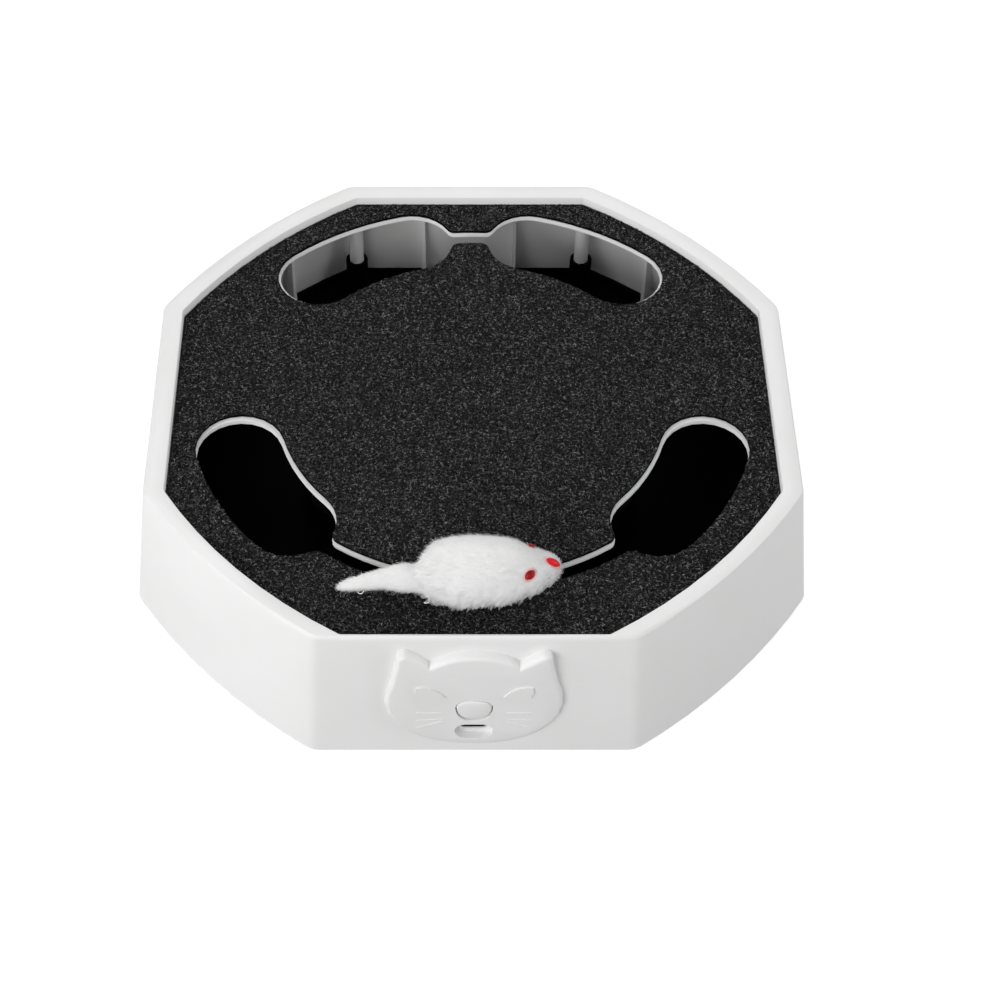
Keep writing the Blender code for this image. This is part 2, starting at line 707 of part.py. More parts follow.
def pad_bounds(grow=0.0):
    """Half width, foot and top of the pad behind the mouth."""
    half_wide = MOUTH_HALF_WIDE + PAD_BORDER + grow
    half_tall = MOUTH_HALF_TALL + PAD_BORDER / 2 + grow
    return half_wide, MOUTH_Z - half_tall, MOUTH_Z + half_tall


def face_outline():
    right = [(FACE_HALF_WIDE * wide, FACE_FOOT + FACE_TALL * up) for wide, up in FACE_SHARES]
    return right + [(-x, z) for x, z in reversed(right[1:-1])]


def relief(name, outline, proud, bevel=0.0):
    """Raised shape that stands on the front wall and follows the relief's drafted face."""
    lifted = [(x, z + FOOT_PROUD) for x, z in outline]
    back = [(x, front_wall_y(z) + SKIN / 2 if bevel else face_y(z) + SKIN / 4, z) for x, z in lifted]
    front = [(x, face_y(z) - proud, z) for x, z in lifted]
    item = rings_body(name, [back, front], WHITE)
    if bevel:
        bm = bmesh.new()
        bm.from_mesh(item.data)
        rim = [edge for edge in bm.edges
               if all(vertex.co.y < face_y(vertex.co.z) + GAP / 2 for vertex in edge.verts)]
        bmesh.ops.bevel(bm, geom=rim, offset=bevel, segments=3, profile=0.5, affect="EDGES")
        bm.to_mesh(item.data)
        bm.free()
    return item


def strip(start, end, width):
    """Thin four-point outline along a line in the (x, z) plane."""
    a, b = Vector(start), Vector(end)
    across = (b - a).normalized().orthogonal() * (width / 2)
    return [tuple(a + across), tuple(a - across), tuple(b - across), tuple(b + across)]


def nose_outline(grow):
    points = []
    for i in range(ROUND_SIDES):
        angle = i * math.tau / ROUND_SIDES
        across, up = (math.copysign(abs(part) ** NOSE_FULL_SHARE, part)
                      for part in (math.cos(angle), math.sin(angle)))
        wide = (NOSE_HALF_WIDE + grow) * (1 + NOSE_EGG_SHARE * up)
        points.append((wide * across, NOSE_Z + (NOSE_HALF_TALL + grow) * up))
    return points


def stadium(half_wide, half_tall, z, steps=8):
    centre = half_wide - half_tall
    right = arc((centre, z), half_tall, -math.pi / 2, math.pi / 2, steps)
    return right + [(-x, 2 * z - y) for x, y in right]


def make_housing():
    edge = RIM_ROUND * (1 - math.cos(math.pi / 4))
    lip = RIM_LIP_ROUND * (1 - math.cos(math.pi / 4))
    rim_side, rim_front = wall_flares(HOUSING_TOP)
    recess = [
        (GAP, DECK_TOP), (GAP, HOUSING_TOP - RIM_LIP_ROUND), (GAP + lip, HOUSING_TOP - lip),
        (GAP + RIM_LIP_ROUND, HOUSING_TOP),
    ]
    layers = [
        (rim_side - RIM_ROUND, rim_front - RIM_LIP_ROUND, HOUSING_TOP),
        (rim_side - edge, rim_front - lip, HOUSING_TOP - edge),
        (*wall_flares(HOUSING_TOP - RIM_ROUND), HOUSING_TOP - RIM_ROUND),
        (*wall_flares(FOOT_PROUD), FOOT_PROUD),
        (*wall_flares(FOOT_PROUD, SKIN), FOOT_PROUD),
        (*wall_flares(DECK_BOTTOM, SKIN), DECK_BOTTOM),
    ]
    rings = [at_height(octagon(flare, flare, RECESS_CORNER_CUT), z) for flare, z in recess]
    rings += [at_height(octagon(side, front), z) for side, front, z in layers]
    housing = rings_body("octagon_housing", rings, WHITE)
    bosses = [cylinder("boss", BOSS_R, WEB_TOP + GAP, DECK_MIDDLE, WHITE, place, SMALL_SIDES)
              for place in boss_places()]
    ribs = [rib(middle, side * RIB_SIDE) for middle in range(-45, 270, 45) for side in (-1, 1)]
    add(housing, *bosses, *ribs)
    half_wide, low, high = pad_bounds()
    pad = block("pad", -half_wide, half_wide, MOUTH_FLOOR_Y - MOUTH_DEEP / 2, PAD_BACK_Y, low, high, WHITE)
    add(housing, relief("face", face_outline(), 0.0, FACE_ROUND), pad)
    features = []
    for flip in (1, -1):
        eye = [(flip * (EYE_ASIDE + EYE_HALF_WIDE * wide), FACE_FOOT + EYE_UP + EYE_HALF_TALL * up)
               for wide, up in EYE_SHARES]
        features.append(relief("eye", eye, EYE_PROUD))
        for near, far in WHISKER_SHARES:
            line = strip((flip * WHISKER_NEAR, FACE_FOOT + FACE_TALL * near),
                         (flip * WHISKER_FAR, FACE_FOOT + FACE_TALL * far), WHISKER_WIDE)
            features.append(relief("whisker", line, WHISKER_PROUD))
    add(housing, *features)
    before = face_y(FOOT_PROUD) - OVERRUN
    behind = front_wall_y(HOUSING_TOP, SKIN) + OVERRUN
    hollow = facing_prism("nose_room", nose_outline(NOSE_FLANGE_LIP + NOSE_STROKE), FLANGE_FRONT_Y - GAP,
                          behind, WHITE)
    hole = facing_prism("nose_hole", nose_outline(GAP), before, behind, WHITE)
    mouth = facing_prism("mouth", stadium(MOUTH_HALF_WIDE, MOUTH_HALF_TALL, MOUTH_Z), before,
                         MOUTH_FLOOR_Y, WHITE)
    slit = facing_prism("slit", stadium(PORT_HALF_WIDE + GAP, PORT_HALF_TALL + GAP, PORT_Z),
                        MOUTH_FLOOR_Y - GAP, PAD_BACK_Y + OVERRUN, WHITE)
    cut(housing, hollow, hole, mouth, slit)
    pilots = [cylinder("pilot", SCREW_SHANK_R + GAP, FOOT_PROUD, WEB_TOP + SCREW_LENGTH, WHITE, place,
                       SMALL_SIDES) for place in boss_places()]
    cut(housing, *pilots, *track_cutters(DECK_BOTTOM - OVERRUN, HOUSING_TOP, DECK_LEDGE))
    smooth(housing)
    return housing


def make_mat():
    mat = prism("felt_mat", octagon(0.0, 0.0, RECESS_CORNER_CUT), MAT_BOTTOM, MAT_TOP, FELT)
    cut(mat, *track_cutters(DECK_BOTTOM, HOUSING_TOP, -MAT_HOLE_BACK, -MAT_SLOT_BACK))
    return mat


def make_base():
    foot = wall_flares(PAN_BOTTOM, SKIN + PAN_GAP)
    top = wall_flares(PAN_WALL_TOP, SKIN + PAN_GAP)
    top_in = wall_flares(PAN_WALL_TOP, SKIN + PAN_GAP + PAN_WALL)
    floor_in = wall_flares(FLOOR_Z, SKIN + PAN_GAP + PAN_WALL)
    layers = [(*foot, PAN_BOTTOM), (*top, PAN_WALL_TOP), (*top_in, PAN_WALL_TOP), (*floor_in, FLOOR_Z)]
    base = rings_body("base_pan", [at_height(octagon(side, front), z) for side, front, z in layers], BLACK)
    centre = (0.0, AXIS_Y)
    sockets = [cylinder("socket", SOCKET_R, FLOOR_MIDDLE, SOCKET_TOP, BLACK, place, SMALL_SIDES)
               for place in boss_places()]
    spindle_boss = cylinder("spindle_boss", SPINDLE_BOSS_R, FLOOR_MIDDLE, SPINDLE_BOSS_TOP, BLACK, centre)
    board_middle = BOARD_FRONT_Y + BOARD_THICK / 2
    posts = [block("post", x - POST_HALF_WIDE, x + POST_HALF_WIDE, board_middle - POST_HALF_DEEP,
                   board_middle + POST_HALF_DEEP, FLOOR_MIDDLE, FLOOR_Z + POST_TALL, BLACK)
             for x in (BOARD_HALF_WIDE + GAP, -BOARD_HALF_WIDE - GAP)]
    cradles = [block("cradle", side * CRADLE_ASIDE - CRADLE_HALF, side * CRADLE_ASIDE + CRADLE_HALF,
                     BATTERY_Y - BATTERY_R, BATTERY_Y + BATTERY_R, FLOOR_MIDDLE, FLOOR_Z + CRADLE_TALL, BLACK)
               for side in (-1, 1)]
    motor_x = -GEARBOX_LEFT - MOTOR_LENGTH / 2
    saddle = block("saddle", motor_x - CRADLE_HALF, motor_x + CRADLE_HALF, DRIVE_Y - MOTOR_R,
                   DRIVE_Y + MOTOR_R, FLOOR_MIDDLE, FLOOR_Z + CRADLE_TALL, BLACK)
    add(base, *sockets, spindle_boss, *posts, *cradles, saddle)
    cell_bed = lay_along(cylinder("bed", BATTERY_R + GAP, -BATTERY_HALF, BATTERY_HALF, BLACK), "X",
                         (0.0, BATTERY_Y, BATTERY_Z))
    motor_bed = lay_along(cylinder("bed", MOTOR_R + GAP, -MOTOR_LENGTH, MOTOR_LENGTH, BLACK), "X",
                          (motor_x, DRIVE_Y, MOTOR_Z))
    slot = block("board_slot", -BOARD_HALF_WIDE - GAP, BOARD_HALF_WIDE + GAP, BOARD_FRONT_Y - GAP,
                 BOARD_BACK_Y + GAP, BOARD_FOOT_Z - GAP, BOARD_FOOT_Z + BOARD_TALL, BLACK)
    half_wide, low, high = pad_bounds(GAP)
    notch = block("pad_notch", -half_wide, half_wide, front_wall_y(FOOT_PROUD), PAD_BACK_Y + GAP,
                  low, high, BLACK)
    spindle_hole = cylinder("spindle_hole", SPINDLE_R + GAP, SPINDLE_FOOT - GAP, HOUSING_TOP, BLACK, centre)
    cut(base, cell_bed, motor_bed, slot, notch, spindle_hole)
    holes = []
    for place in boss_places():
        for radius, low, high in ((SOCKET_BORE_R, WEB_TOP, SOCKET_TOP + OVERRUN),
                                  (SCREW_HEAD_R + GAP, PAN_BOTTOM - OVERRUN, WEB_BOTTOM),
                                  (SCREW_SHANK_R + GAP, PAN_BOTTOM - OVERRUN, SOCKET_TOP)):
            holes.append(cylinder("hole", radius, low, high, BLACK, place, SMALL_SIDES))
    cut(base, *holes)
    smooth(base)
    return base


def make_screws_and_feet():
    head_top = WEB_BOTTOM - GAP
    bottom = head_top - SCREW_HEAD
    dome_share, dome_high_share = SCREW_DOME_SHARES
    point_share, shank_share = SCREW_TAPER_SHARES
    for number, place in enumerate(boss_places(), start=1):
        profile = [(SCREW_HEAD_R * dome_share, bottom), (SCREW_HEAD_R, bottom + SCREW_HEAD * dome_high_share),
                   (SCREW_HEAD_R, head_top), (SCREW_SHANK_R, head_top),
                   (SCREW_SHANK_R, head_top + SCREW_LENGTH * shank_share),
                   (SCREW_SHANK_R * point_share, head_top + SCREW_LENGTH)]
        screw = turned(f"case_screw_{number}", profile, STEEL, place, SMALL_SIDES)
        for wide, deep in ((SCREW_CROSS, SCREW_CROSS_WIDE), (SCREW_CROSS_WIDE, SCREW_CROSS)):
            cut(screw, block("cross", place[0] - wide / 2, place[0] + wide / 2, place[1] - deep / 2,
                             place[1] + deep / 2, bottom - SCREW_HEAD, bottom + SCREW_CROSS_DEEP, STEEL))
        smooth(screw)
    spread = FOOT_SPREAD
    feet = {"foot_front_left": (-spread, -spread), "foot_front_right": (spread, -spread),
            "foot_back_left": (-spread, spread), "foot_back_right": (spread, spread)}
    for name, place in feet.items():
        top = PAN_BOTTOM - GAP
        chamfer = top / 3
        profile = [(FOOT_R - chamfer, 0.0), (FOOT_R, chamfer), (FOOT_R, top)]
        smooth(turned(name, profile, RUBBER, place))


def make_nose():
    outline = nose_outline(0.0)
    front = face_y(NOSE_Z) - NOSE_PROUD
    rings = [[(x, FLANGE_FRONT_Y + NOSE_FLANGE / 2, z) for x, z in outline]]
    for share, dome in NOSE_DOME_SHARES:
        y = front + NOSE_DOME * (1 - dome)
        rings.append([(x * share, y, NOSE_Z + (z - NOSE_Z) * share) for x, z in outline])
    nose = rings_body("nose_button", rings, WHITE)
    add(nose, facing_prism("flange", nose_outline(NOSE_FLANGE_LIP), FLANGE_FRONT_Y, FLANGE_BACK_Y, WHITE))
    smooth(nose)
    set_origin(nose, (0.0, FLANGE_BACK_Y, NOSE_Z))


def coil(name, radius, wire, turns, length, look):
    """Open spring of real curls along +Z from the origin."""
    steps = turns * CURL_STEPS
    rings = []
    for i in range(steps + 1):
        angle = i * math.tau / CURL_STEPS
        centre = Vector((radius * math.cos(angle), radius * math.sin(angle), length * i / steps))
        out = Vector((math.cos(angle), math.sin(angle), 0.0))
        ring = []
        for k in range(WIRE_SIDES):
            turn = k * math.tau / WIRE_SIDES
            ring.append(centre + out * (wire * math.cos(turn)) + Vector((0.0, 0.0, wire * math.sin(turn))))
        rings.append([tuple(point) for point in ring])
    item = rings_body(name, rings, look)
    smooth(item)
    return item


def make_board():
    block("control_board", -BOARD_HALF_WIDE, BOARD_HALF_WIDE, BOARD_FRONT_Y, BOARD_BACK_Y,
          BOARD_FOOT_Z, BOARD_FOOT_Z + BOARD_TALL, BOARD)
    switch_back = BOARD_FRONT_Y - GAP
    switch_front = switch_back - SWITCH_DEEP
    body = block("nose_switch", -SWITCH_HALF, SWITCH_HALF, switch_front, switch_back,
                 NOSE_Z - SWITCH_HALF, NOSE_Z + SWITCH_HALF, BLACK)
    pin_tip = FLANGE_BACK_Y + NOSE_STROKE + RUNNING
    pin = cylinder("pin", SWITCH_PIN_R, pin_tip - switch_back, -SWITCH_DEEP / 2, BLACK, sides=SMALL_SIDES)
    add(body, lay_along(pin, "Y", (0.0, switch_back, NOSE_Z)))
    shell = facing_prism("charge_port", stadium(PORT_HALF_WIDE, PORT_HALF_TALL, PORT_Z), PORT_FRONT_Y,
                         PORT_BACK_Y, STEEL)
    cavity_back = PORT_FRONT_Y + PORT_CAVITY
    cut(shell, facing_prism("cavity", stadium(PORT_HALF_WIDE - PORT_SKIN, PORT_HALF_TALL - PORT_SKIN, PORT_Z),
                            PORT_FRONT_Y - OVERRUN, cavity_back, STEEL))
    smooth(shell)
    tongue_half = PORT_HALF_WIDE * TONGUE_WIDE_SHARE
    block("port_tongue", -tongue_half, tongue_half, PORT_FRONT_Y + PORT_SKIN, cavity_back - GAP,
          PORT_Z - TONGUE_THICK / 2, PORT_Z + TONGUE_THICK / 2, BLACK)
    behind = BOARD_BACK_Y + GAP
    block("control_chip", CHIP_ASIDE - CHIP_HALF, CHIP_ASIDE + CHIP_HALF, behind, behind + CHIP_THICK,
          NOSE_Z - CHIP_HALF, NOSE_Z + CHIP_HALF, BLACK)
    block("lead_socket", -PLUG_HALF_WIDE, PLUG_HALF_WIDE, behind, behind + PLUG_DEEP,
          PORT_Z - PLUG_HALF_TALL, PORT_Z + PLUG_HALF_TALL, CREAM)
    rest = GAP + PUSH_WIRE_R
    length = BOARD_FRONT_Y - FLANGE_BACK_Y - rest * 2
    spring = coil("nose_spring", PUSH_R, PUSH_WIRE_R, PUSH_TURNS, length, STEEL)
    lay_along(spring, "Y", (0.0, FLANGE_BACK_Y + rest, NOSE_Z))


def gear_outline(teeth, gap_first):
    """Straight-sided teeth with play; gap_first turns the wheel half a tooth."""
    pitch_r = TOOTH_MODULE * teeth / 2
    tip_r = pitch_r + TOOTH_MODULE * TOOTH_TIP_SHARE
    root_r = pitch_r - TOOTH_MODULE * TOOTH_ROOT_SHARE
    pitch = math.tau / teeth
    play = RUNNING / pitch_r
    points = []
    for i in range(teeth):
        middle = (i + (0.5 if gap_first else 0.0)) * pitch
        for radius, share in ((root_r, -TOOTH_FOOT_SHARE), (tip_r, -TOOTH_FACE_SHARE),
                              (tip_r, TOOTH_FACE_SHARE), (root_r, TOOTH_FOOT_SHARE)):
            angle = middle + share * pitch - math.copysign(play, share)
            points.append((radius * math.cos(angle), radius * math.sin(angle)))
    return points


def make_drive():
    centre = (0.0, AXIS_Y)
    drive = (0.0, DRIVE_Y)
    gear_top = GEAR_FOOT + GEAR_THICK
    outline = [(x, y + AXIS_Y) for x, y in gear_outline(WHEEL_TEETH, False)]
    wheel = prism("turntable_gear", outline, GEAR_FOOT, gear_top, CREAM)
    cut(wheel, cylinder("bore", BUSH_FLANGE_R + GAP * 2, GEAR_FOOT - OVERRUN, gear_top + OVERRUN, CREAM,
                        centre))
    set_origin(wheel, (0.0, AXIS_Y, GEAR_FOOT))
    outline = [(y, DRIVE_Y - x) for x, y in gear_outline(PINION_TEETH, True)]
    pinion = prism("drive_pinion", outline, GEAR_FOOT, gear_top, CREAM)
    cut(pinion, cylinder("bore", DRIVE_SHAFT_R + RUNNING, GEAR_FOOT - OVERRUN, gear_top + OVERRUN, CREAM,
                         drive, SMALL_SIDES))
    set_origin(pinion, (0.0, DRIVE_Y, GEAR_FOOT))
    shaft_low = GEARBOX_TOP - DRIVE_SHAFT_SINK
    smooth(cylinder("drive_shaft", DRIVE_SHAFT_R, shaft_low, gear_top, STEEL, drive, SMALL_SIDES))
    gearbox = block("gearbox", -GEARBOX_LEFT, GEARBOX_RIGHT, DRIVE_Y - GEARBOX_HALF_DEEP,
                    DRIVE_Y + GEARBOX_HALF_DEEP, FLOOR_Z + GAP, GEARBOX_TOP, CREAM)
    cut(gearbox, cylinder("bore", DRIVE_SHAFT_R + RUNNING, shaft_low - GAP, GEARBOX_TOP + OVERRUN, CREAM,
                          drive, SMALL_SIDES))
    can_right = -GEARBOX_LEFT - GAP
    can_left = can_right - MOTOR_LENGTH
    motor = (0.0, DRIVE_Y, MOTOR_Z)
    smooth(lay_along(cylinder("motor_can", MOTOR_R, can_left, can_right, STEEL), "X", motor))
    cap_right = can_left - GAP
    cap = cylinder("motor_end_cap", MOTOR_CAP_R, cap_right - MOTOR_CAP, cap_right, BLACK)
    smooth(lay_along(cap, "X", motor))


def make_battery():
    place = (0.0, BATTERY_Y, BATTERY_Z)
    smooth(lay_along(cylinder("battery_cell", BATTERY_R, -BATTERY_HALF, BATTERY_HALF, CELL), "X", place))
    tip_low = BATTERY_HALF + GAP
    smooth(lay_along(cylinder("battery_contact", BATTERY_TIP_R, tip_low, tip_low + BATTERY_TIP, STEEL,
                              sides=SMALL_SIDES), "X", place))


def cam_height(angle):
    """Top of the cam ring by direction from the front, in degrees."""
    turn = abs(angle)
    high = ROLLER_Z - ROLLER_R - GAP

    def ramp(share):
        share = min(max(share, 0.0), 1.0)
        return share * share * (3 - 2 * share)

    down = ramp((turn - CAM_FRONT_HIGH_DEG) / CAM_RAMP_DEG)
    up = ramp((turn - (180 - CAM_BACK_HIGH_DEG - CAM_RAMP_DEG)) / CAM_RAMP_DEG)
    return high - (high - FLOOR_Z - CAM_LOW) * (down - up)


def make_cam():
    inner = ROLLER_OUT - CAM_HALF_WIDE
    outer = ROLLER_OUT + CAM_HALF_WIDE
    foot = FLOOR_Z + GAP
    sections = []
    for i in range(CAM_STEPS):
        degrees = i * 360 / CAM_STEPS
        away = degrees if degrees <= 180 else degrees - 360
        turn = math.radians(FRONT_DEG + degrees)
        top = cam_height(away)
        sections.append([(radius * math.cos(turn), AXIS_Y + radius * math.sin(turn), z)
                         for radius, z in ((inner, foot), (outer, foot), (outer, top), (inner, top))])
    ring = rings_body("cam_ring", sections, BLACK, closed=True)
    door = block("door", -CAM_DOOR_HALF, CAM_DOOR_HALF, AXIS_Y - outer - OVERRUN, AXIS_Y - inner + OVERRUN,
                 FLOOR_Z, FLOOR_Z + CAM_DOOR_TALL, BLACK)
    cut(ring, door)
    smooth(ring)


def make_spindle():
    centre = (0.0, AXIS_Y)
    flange_low = SPINDLE_BOSS_TOP + GAP
    flange_top = flange_low + BUSH_FLANGE
    bush = [(BUSH_BORE_R, flange_low), (BUSH_FLANGE_R, flange_low), (BUSH_FLANGE_R, flange_top),
            (BUSH_R, flange_top), (BUSH_R, HUB_TOP), (BUSH_BORE_R, HUB_TOP)]
    smooth(turned("spindle_bush", bush, BRASS, centre, SMALL_SIDES, closed=True))
    clip_top = CLIP_LOW + CLIP_THICK
    clip = [(BUSH_BORE_R, CLIP_LOW), (CLIP_R, CLIP_LOW), (CLIP_R, clip_top), (BUSH_BORE_R, clip_top)]
    smooth(turned("spindle_clip", clip, STEEL, centre, SMALL_SIDES, closed=True))
    smooth(cylinder("spindle", SPINDLE_R, SPINDLE_FOOT, SPINDLE_TOP, STEEL, centre, SMALL_SIDES))


def ear_outline():
    """Side view of one hinge ear as (y, z) points round the hinge pin."""
    y = AXIS_Y - EAR_OUT
    top = arc((y, PIVOT_Z), EAR_ROUND, 0.0, math.pi, 8)
    return top + [(y - EAR_ROUND, TABLE_LOW + TABLE_THICK / 2), (y + EAR_ROUND, TABLE_LOW + TABLE_THICK / 2)]


def side_prism(name, outline, x0, x1, look):
    """Prism of a (y, z) outline that runs along X."""
    return rings_body(name, [[(x, y, z) for y, z in outline] for x in (x0, x1)], look)


def make_turntable():
    centre = (0.0, AXIS_Y)
    pivot = (0.0, AXIS_Y - EAR_OUT, PIVOT_Z)
    table = cylinder("turntable", TABLE_R, TABLE_LOW, TABLE_TOP, BLACK, centre, ROUND_SIDES * 2)
    hub = cylinder("hub", HUB_R, TABLE_LOW + TABLE_THICK / 2, HUB_TOP, BLACK, centre)
    tongue = block("tongue", -EAR_HALF_SPAN, EAR_HALF_SPAN, AXIS_Y - EAR_OUT - EAR_ROUND,
                   AXIS_Y - TABLE_R / 2, TABLE_LOW, TABLE_TOP, BLACK)
    ears = [side_prism("ear", ear_outline(), side * EAR_HALF_SPAN, side * (EAR_HALF_SPAN - EAR_THICK), BLACK)
            for side in (-1, 1)]
    add(table, hub, tongue, *ears)
    bore = cylinder("bore", BUSH_R + GAP, TABLE_LOW - OVERRUN, HUB_TOP + OVERRUN, BLACK, centre)
    pin_hole = cylinder("pin_hole", PIVOT_PIN_R + GAP, -TABLE_R, TABLE_R, BLACK, sides=SMALL_SIDES)
    cut(table, bore, lay_along(pin_hole, "X", pivot))
    smooth(table)
    set_origin(table, (0.0, AXIS_Y, TABLE_LOW))
    half = EAR_HALF_SPAN + PIVOT_PIN_OVER
    smooth(lay_along(cylinder("lever_pin", PIVOT_PIN_R, -half, half, STEEL, sides=SMALL_SIDES), "X", pivot))


def lever_line(out):
    """Height of the lever's middle at a distance from the turntable axis."""
    share = (out - EAR_OUT) / (TRACK_R - EAR_OUT)
    return PIVOT_Z + (LEVER_TIP_Z - PIVOT_Z) * share


ROLLER_Z = lever_line(ROLLER_OUT) - LEVER_THICK / 2 - ROLLER_CLEAR - ROLLER_R


def make_lever():
    pivot = (0.0, AXIS_Y - EAR_OUT, PIVOT_Z)
    wheel = (0.0, AXIS_Y - ROLLER_OUT, ROLLER_Z)
    post = (0.0, AXIS_Y - TRACK_R)
    rings = []
    for out, half in ((EAR_OUT, LEVER_HALF_ROOT), (ROLLER_OUT, LEVER_HALF_ROOT),
                      (TRACK_R + LEVER_TIP_OVER, LEVER_HALF_TIP)):
        low, high = lever_line(out) - LEVER_THICK / 2, lever_line(out) + LEVER_THICK / 2
        y = AXIS_Y - out
        rings.append([(-half, y, low), (half, y, low), (half, y, high), (-half, y, high)])
    lever = rings_body("mouse_lever", rings, BLACK)
    barrel = cylinder("barrel", LEVER_BARREL_R, -LEVER_HALF_ROOT, LEVER_HALF_ROOT, BLACK)
    cheeks = []
    near = ROLLER_HALF_WIDE + GAP
    for side in (-1, 1):
        bounds = sorted((wheel[1] + side * near, wheel[1] + side * (near + FORK_THICK)))
        cheeks.append(block("cheek", -FORK_HALF_WIDE, FORK_HALF_WIDE, *bounds, ROLLER_Z - FORK_UNDER,
                            lever_line(ROLLER_OUT), BLACK))
    add(lever, lay_along(barrel, "X", pivot), *cheeks)
    twist_half = LEVER_HALF_ROOT * TWIST_SPAN_SHARE
    room_r = LEVER_BARREL_R * TWIST_ROOM_SHARE
    twist_room = cylinder("twist_room", room_r, -twist_half - GAP, twist_half + GAP, BLACK)
    pivot_hole = cylinder("pivot_hole", PIVOT_PIN_R + RUNNING, -TABLE_R, TABLE_R, BLACK, sides=SMALL_SIDES)
    wheel_hole = cylinder("wheel_hole", ROLLER_PIN_R + GAP, -LEVER_HALF_ROOT, LEVER_HALF_ROOT, BLACK,
                          sides=SMALL_SIDES)
    stem_hole = cylinder("stem_hole", STEM_R + GAP, STEM_FOOT - GAP, DECK_BOTTOM, BLACK, post, SMALL_SIDES)
    cut(lever, lay_along(twist_room, "X", pivot), lay_along(pivot_hole, "X", pivot),
        lay_along(wheel_hole, "Y", wheel), stem_hole)
    smooth(lever)
    set_origin(lever, pivot)
    bore = ROLLER_PIN_R + RUNNING
    profile = [(bore, -ROLLER_HALF_WIDE), (ROLLER_R, -ROLLER_HALF_WIDE), (ROLLER_R, ROLLER_HALF_WIDE),
               (bore, ROLLER_HALF_WIDE)]
    roller = lay_along(turned("cam_roller", profile, CREAM, closed=True), "Y", wheel)
    smooth(roller)
    set_origin(roller, wheel)
    half = near + FORK_THICK
    smooth(lay_along(cylinder("roller_pin", ROLLER_PIN_R, -half, half, STEEL, sides=SMALL_SIDES), "Y", wheel))
    twist_low = TWIST_WIRE_R - twist_half
    lay_along(coil("lever_spring", TWIST_R, TWIST_WIRE_R, TWIST_TURNS, -twist_low * 2, STEEL), "X",
              (twist_low, pivot[1], PIVOT_Z))
    flange_low = lever_line(TRACK_R) + LEVER_THICK / 2 + GAP
    flange_top = flange_low + STEM_FLANGE
    profile = [(STEM_R, STEM_FOOT), (STEM_R, flange_low), (STEM_FLANGE_R, flange_low),
               (STEM_FLANGE_R, flange_top), (STEM_R, flange_top), (STEM_R, STEM_TOP)]
    smooth(turned("mouse_stem", profile, STEEL, post, SMALL_SIDES))


def ellipsoid(name, centre, half, yaw_deg, look, grow=0.0, snout=0.0, sides=BALL_SIDES):
    """Squashed ball, long axis along X, turned about Z; snout draws its +X end in."""
    turn = math.radians(yaw_deg)
    bm = bmesh.new()
    bmesh.ops.create_uvsphere(bm, u_segments=sides, v_segments=sides * 2 // 3, radius=1.0)
    for vertex in bm.verts:
        z, y, x = vertex.co
        narrow = 1 - snout * max(x, 0.0) ** 2
        place = Vector((x * (half[0] + grow), y * (half[1] + grow) * narrow, z * (half[2] + grow) * narrow))
        vertex.co = Vector(centre) + Matrix.Rotation(turn, 3, "Z") @ place
    item = from_bmesh(name, bm, look)
    smooth(item)
    return item


def tube(name, points, radii, look, sides=SMALL_SIDES):
    """Round body along a path, thicker or thinner by point."""
    rings = []
    path = [Vector(point) for point in points]
    for i, point in enumerate(path):
        along = path[min(i + 1, len(path) - 1)] - path[max(i - 1, 0)]
        across = along.cross(Vector((0.0, 0.0, 1.0))).normalized()
        above = across.cross(along).normalized()
        radius = radii[i]
        rings.append([tuple(point + across * (radius * math.cos(k * math.tau / sides))
                            + above * (radius * math.sin(k * math.tau / sides))) for k in range(sides)])
    return rings_body(name, rings, look)


def head_point(turn_deg, raise_deg):
    """Point on the mouse's head by direction from its nose line."""
    turn = math.radians(turn_deg)
    up = math.radians(raise_deg)
    x = math.cos(turn) * math.cos(up)
    y = math.sin(turn) * math.cos(up)
    z = math.sin(up)
    narrow = 1 - SNOUT_SHARE * max(x, 0.0) ** 2
    place = Vector((x * HEAD_HALF[0], y * HEAD_HALF[1] * narrow, z * HEAD_HALF[2] * narrow))
    return Vector(HEAD_CENTRE) + Matrix.Rotation(math.radians(HEAD_YAW_DEG), 3, "Z") @ place


def make_mouse():
    body = ellipsoid("mouse_body", BODY_CENTRE, BODY_HALF, BODY_YAW_DEG, FUR)
    cut(body, cylinder("stem_socket", STEM_R + GAP, MAT_BOTTOM, STEM_TOP + GAP, FUR,
                       (0.0, AXIS_Y - TRACK_R), SMALL_SIDES))
    smooth(body)
    head = ellipsoid("mouse_head", HEAD_CENTRE, HEAD_HALF, HEAD_YAW_DEG, FUR, snout=SNOUT_SHARE)
    cut(head, ellipsoid("body_room", BODY_CENTRE, BODY_HALF, BODY_YAW_DEG, FUR, grow=GAP))
    beads = (("mouse_eye_left", head_point(EYE_TURN_DEG, EYE_RAISE_DEG), MOUSE_EYE),
             ("mouse_eye_right", head_point(-EYE_TURN_DEG, EYE_RAISE_DEG), MOUSE_EYE),
             ("mouse_nose", head_point(0.0, NOSE_RAISE_DEG), MOUSE_NOSE))
    for name, place, size in beads:
        cut(head, ellipsoid("bead_room", place, size, HEAD_YAW_DEG, FUR, grow=GAP, sides=BEAD_SIDES))
        ellipsoid(name, place, size, HEAD_YAW_DEG, RED, sides=BEAD_SIDES)
    smooth(head)
    root = Vector(BODY_CENTRE) - Vector((BODY_HALF_LONG - TAIL_SINK, 0.0, TAIL_UNDER))
    points = [root - Vector((TAIL_LONG * along, TAIL_DRIFT * down, TAIL_DROP * down))
              for along, down, radius in TAIL_SHARES]
    tail = tube("mouse_tail", points, [TAIL_R * radius for along, down, radius in TAIL_SHARES], FUR)
    cut(tail, ellipsoid("body_room", BODY_CENTRE, BODY_HALF, BODY_YAW_DEG, FUR, grow=GAP))
    smooth(tail)


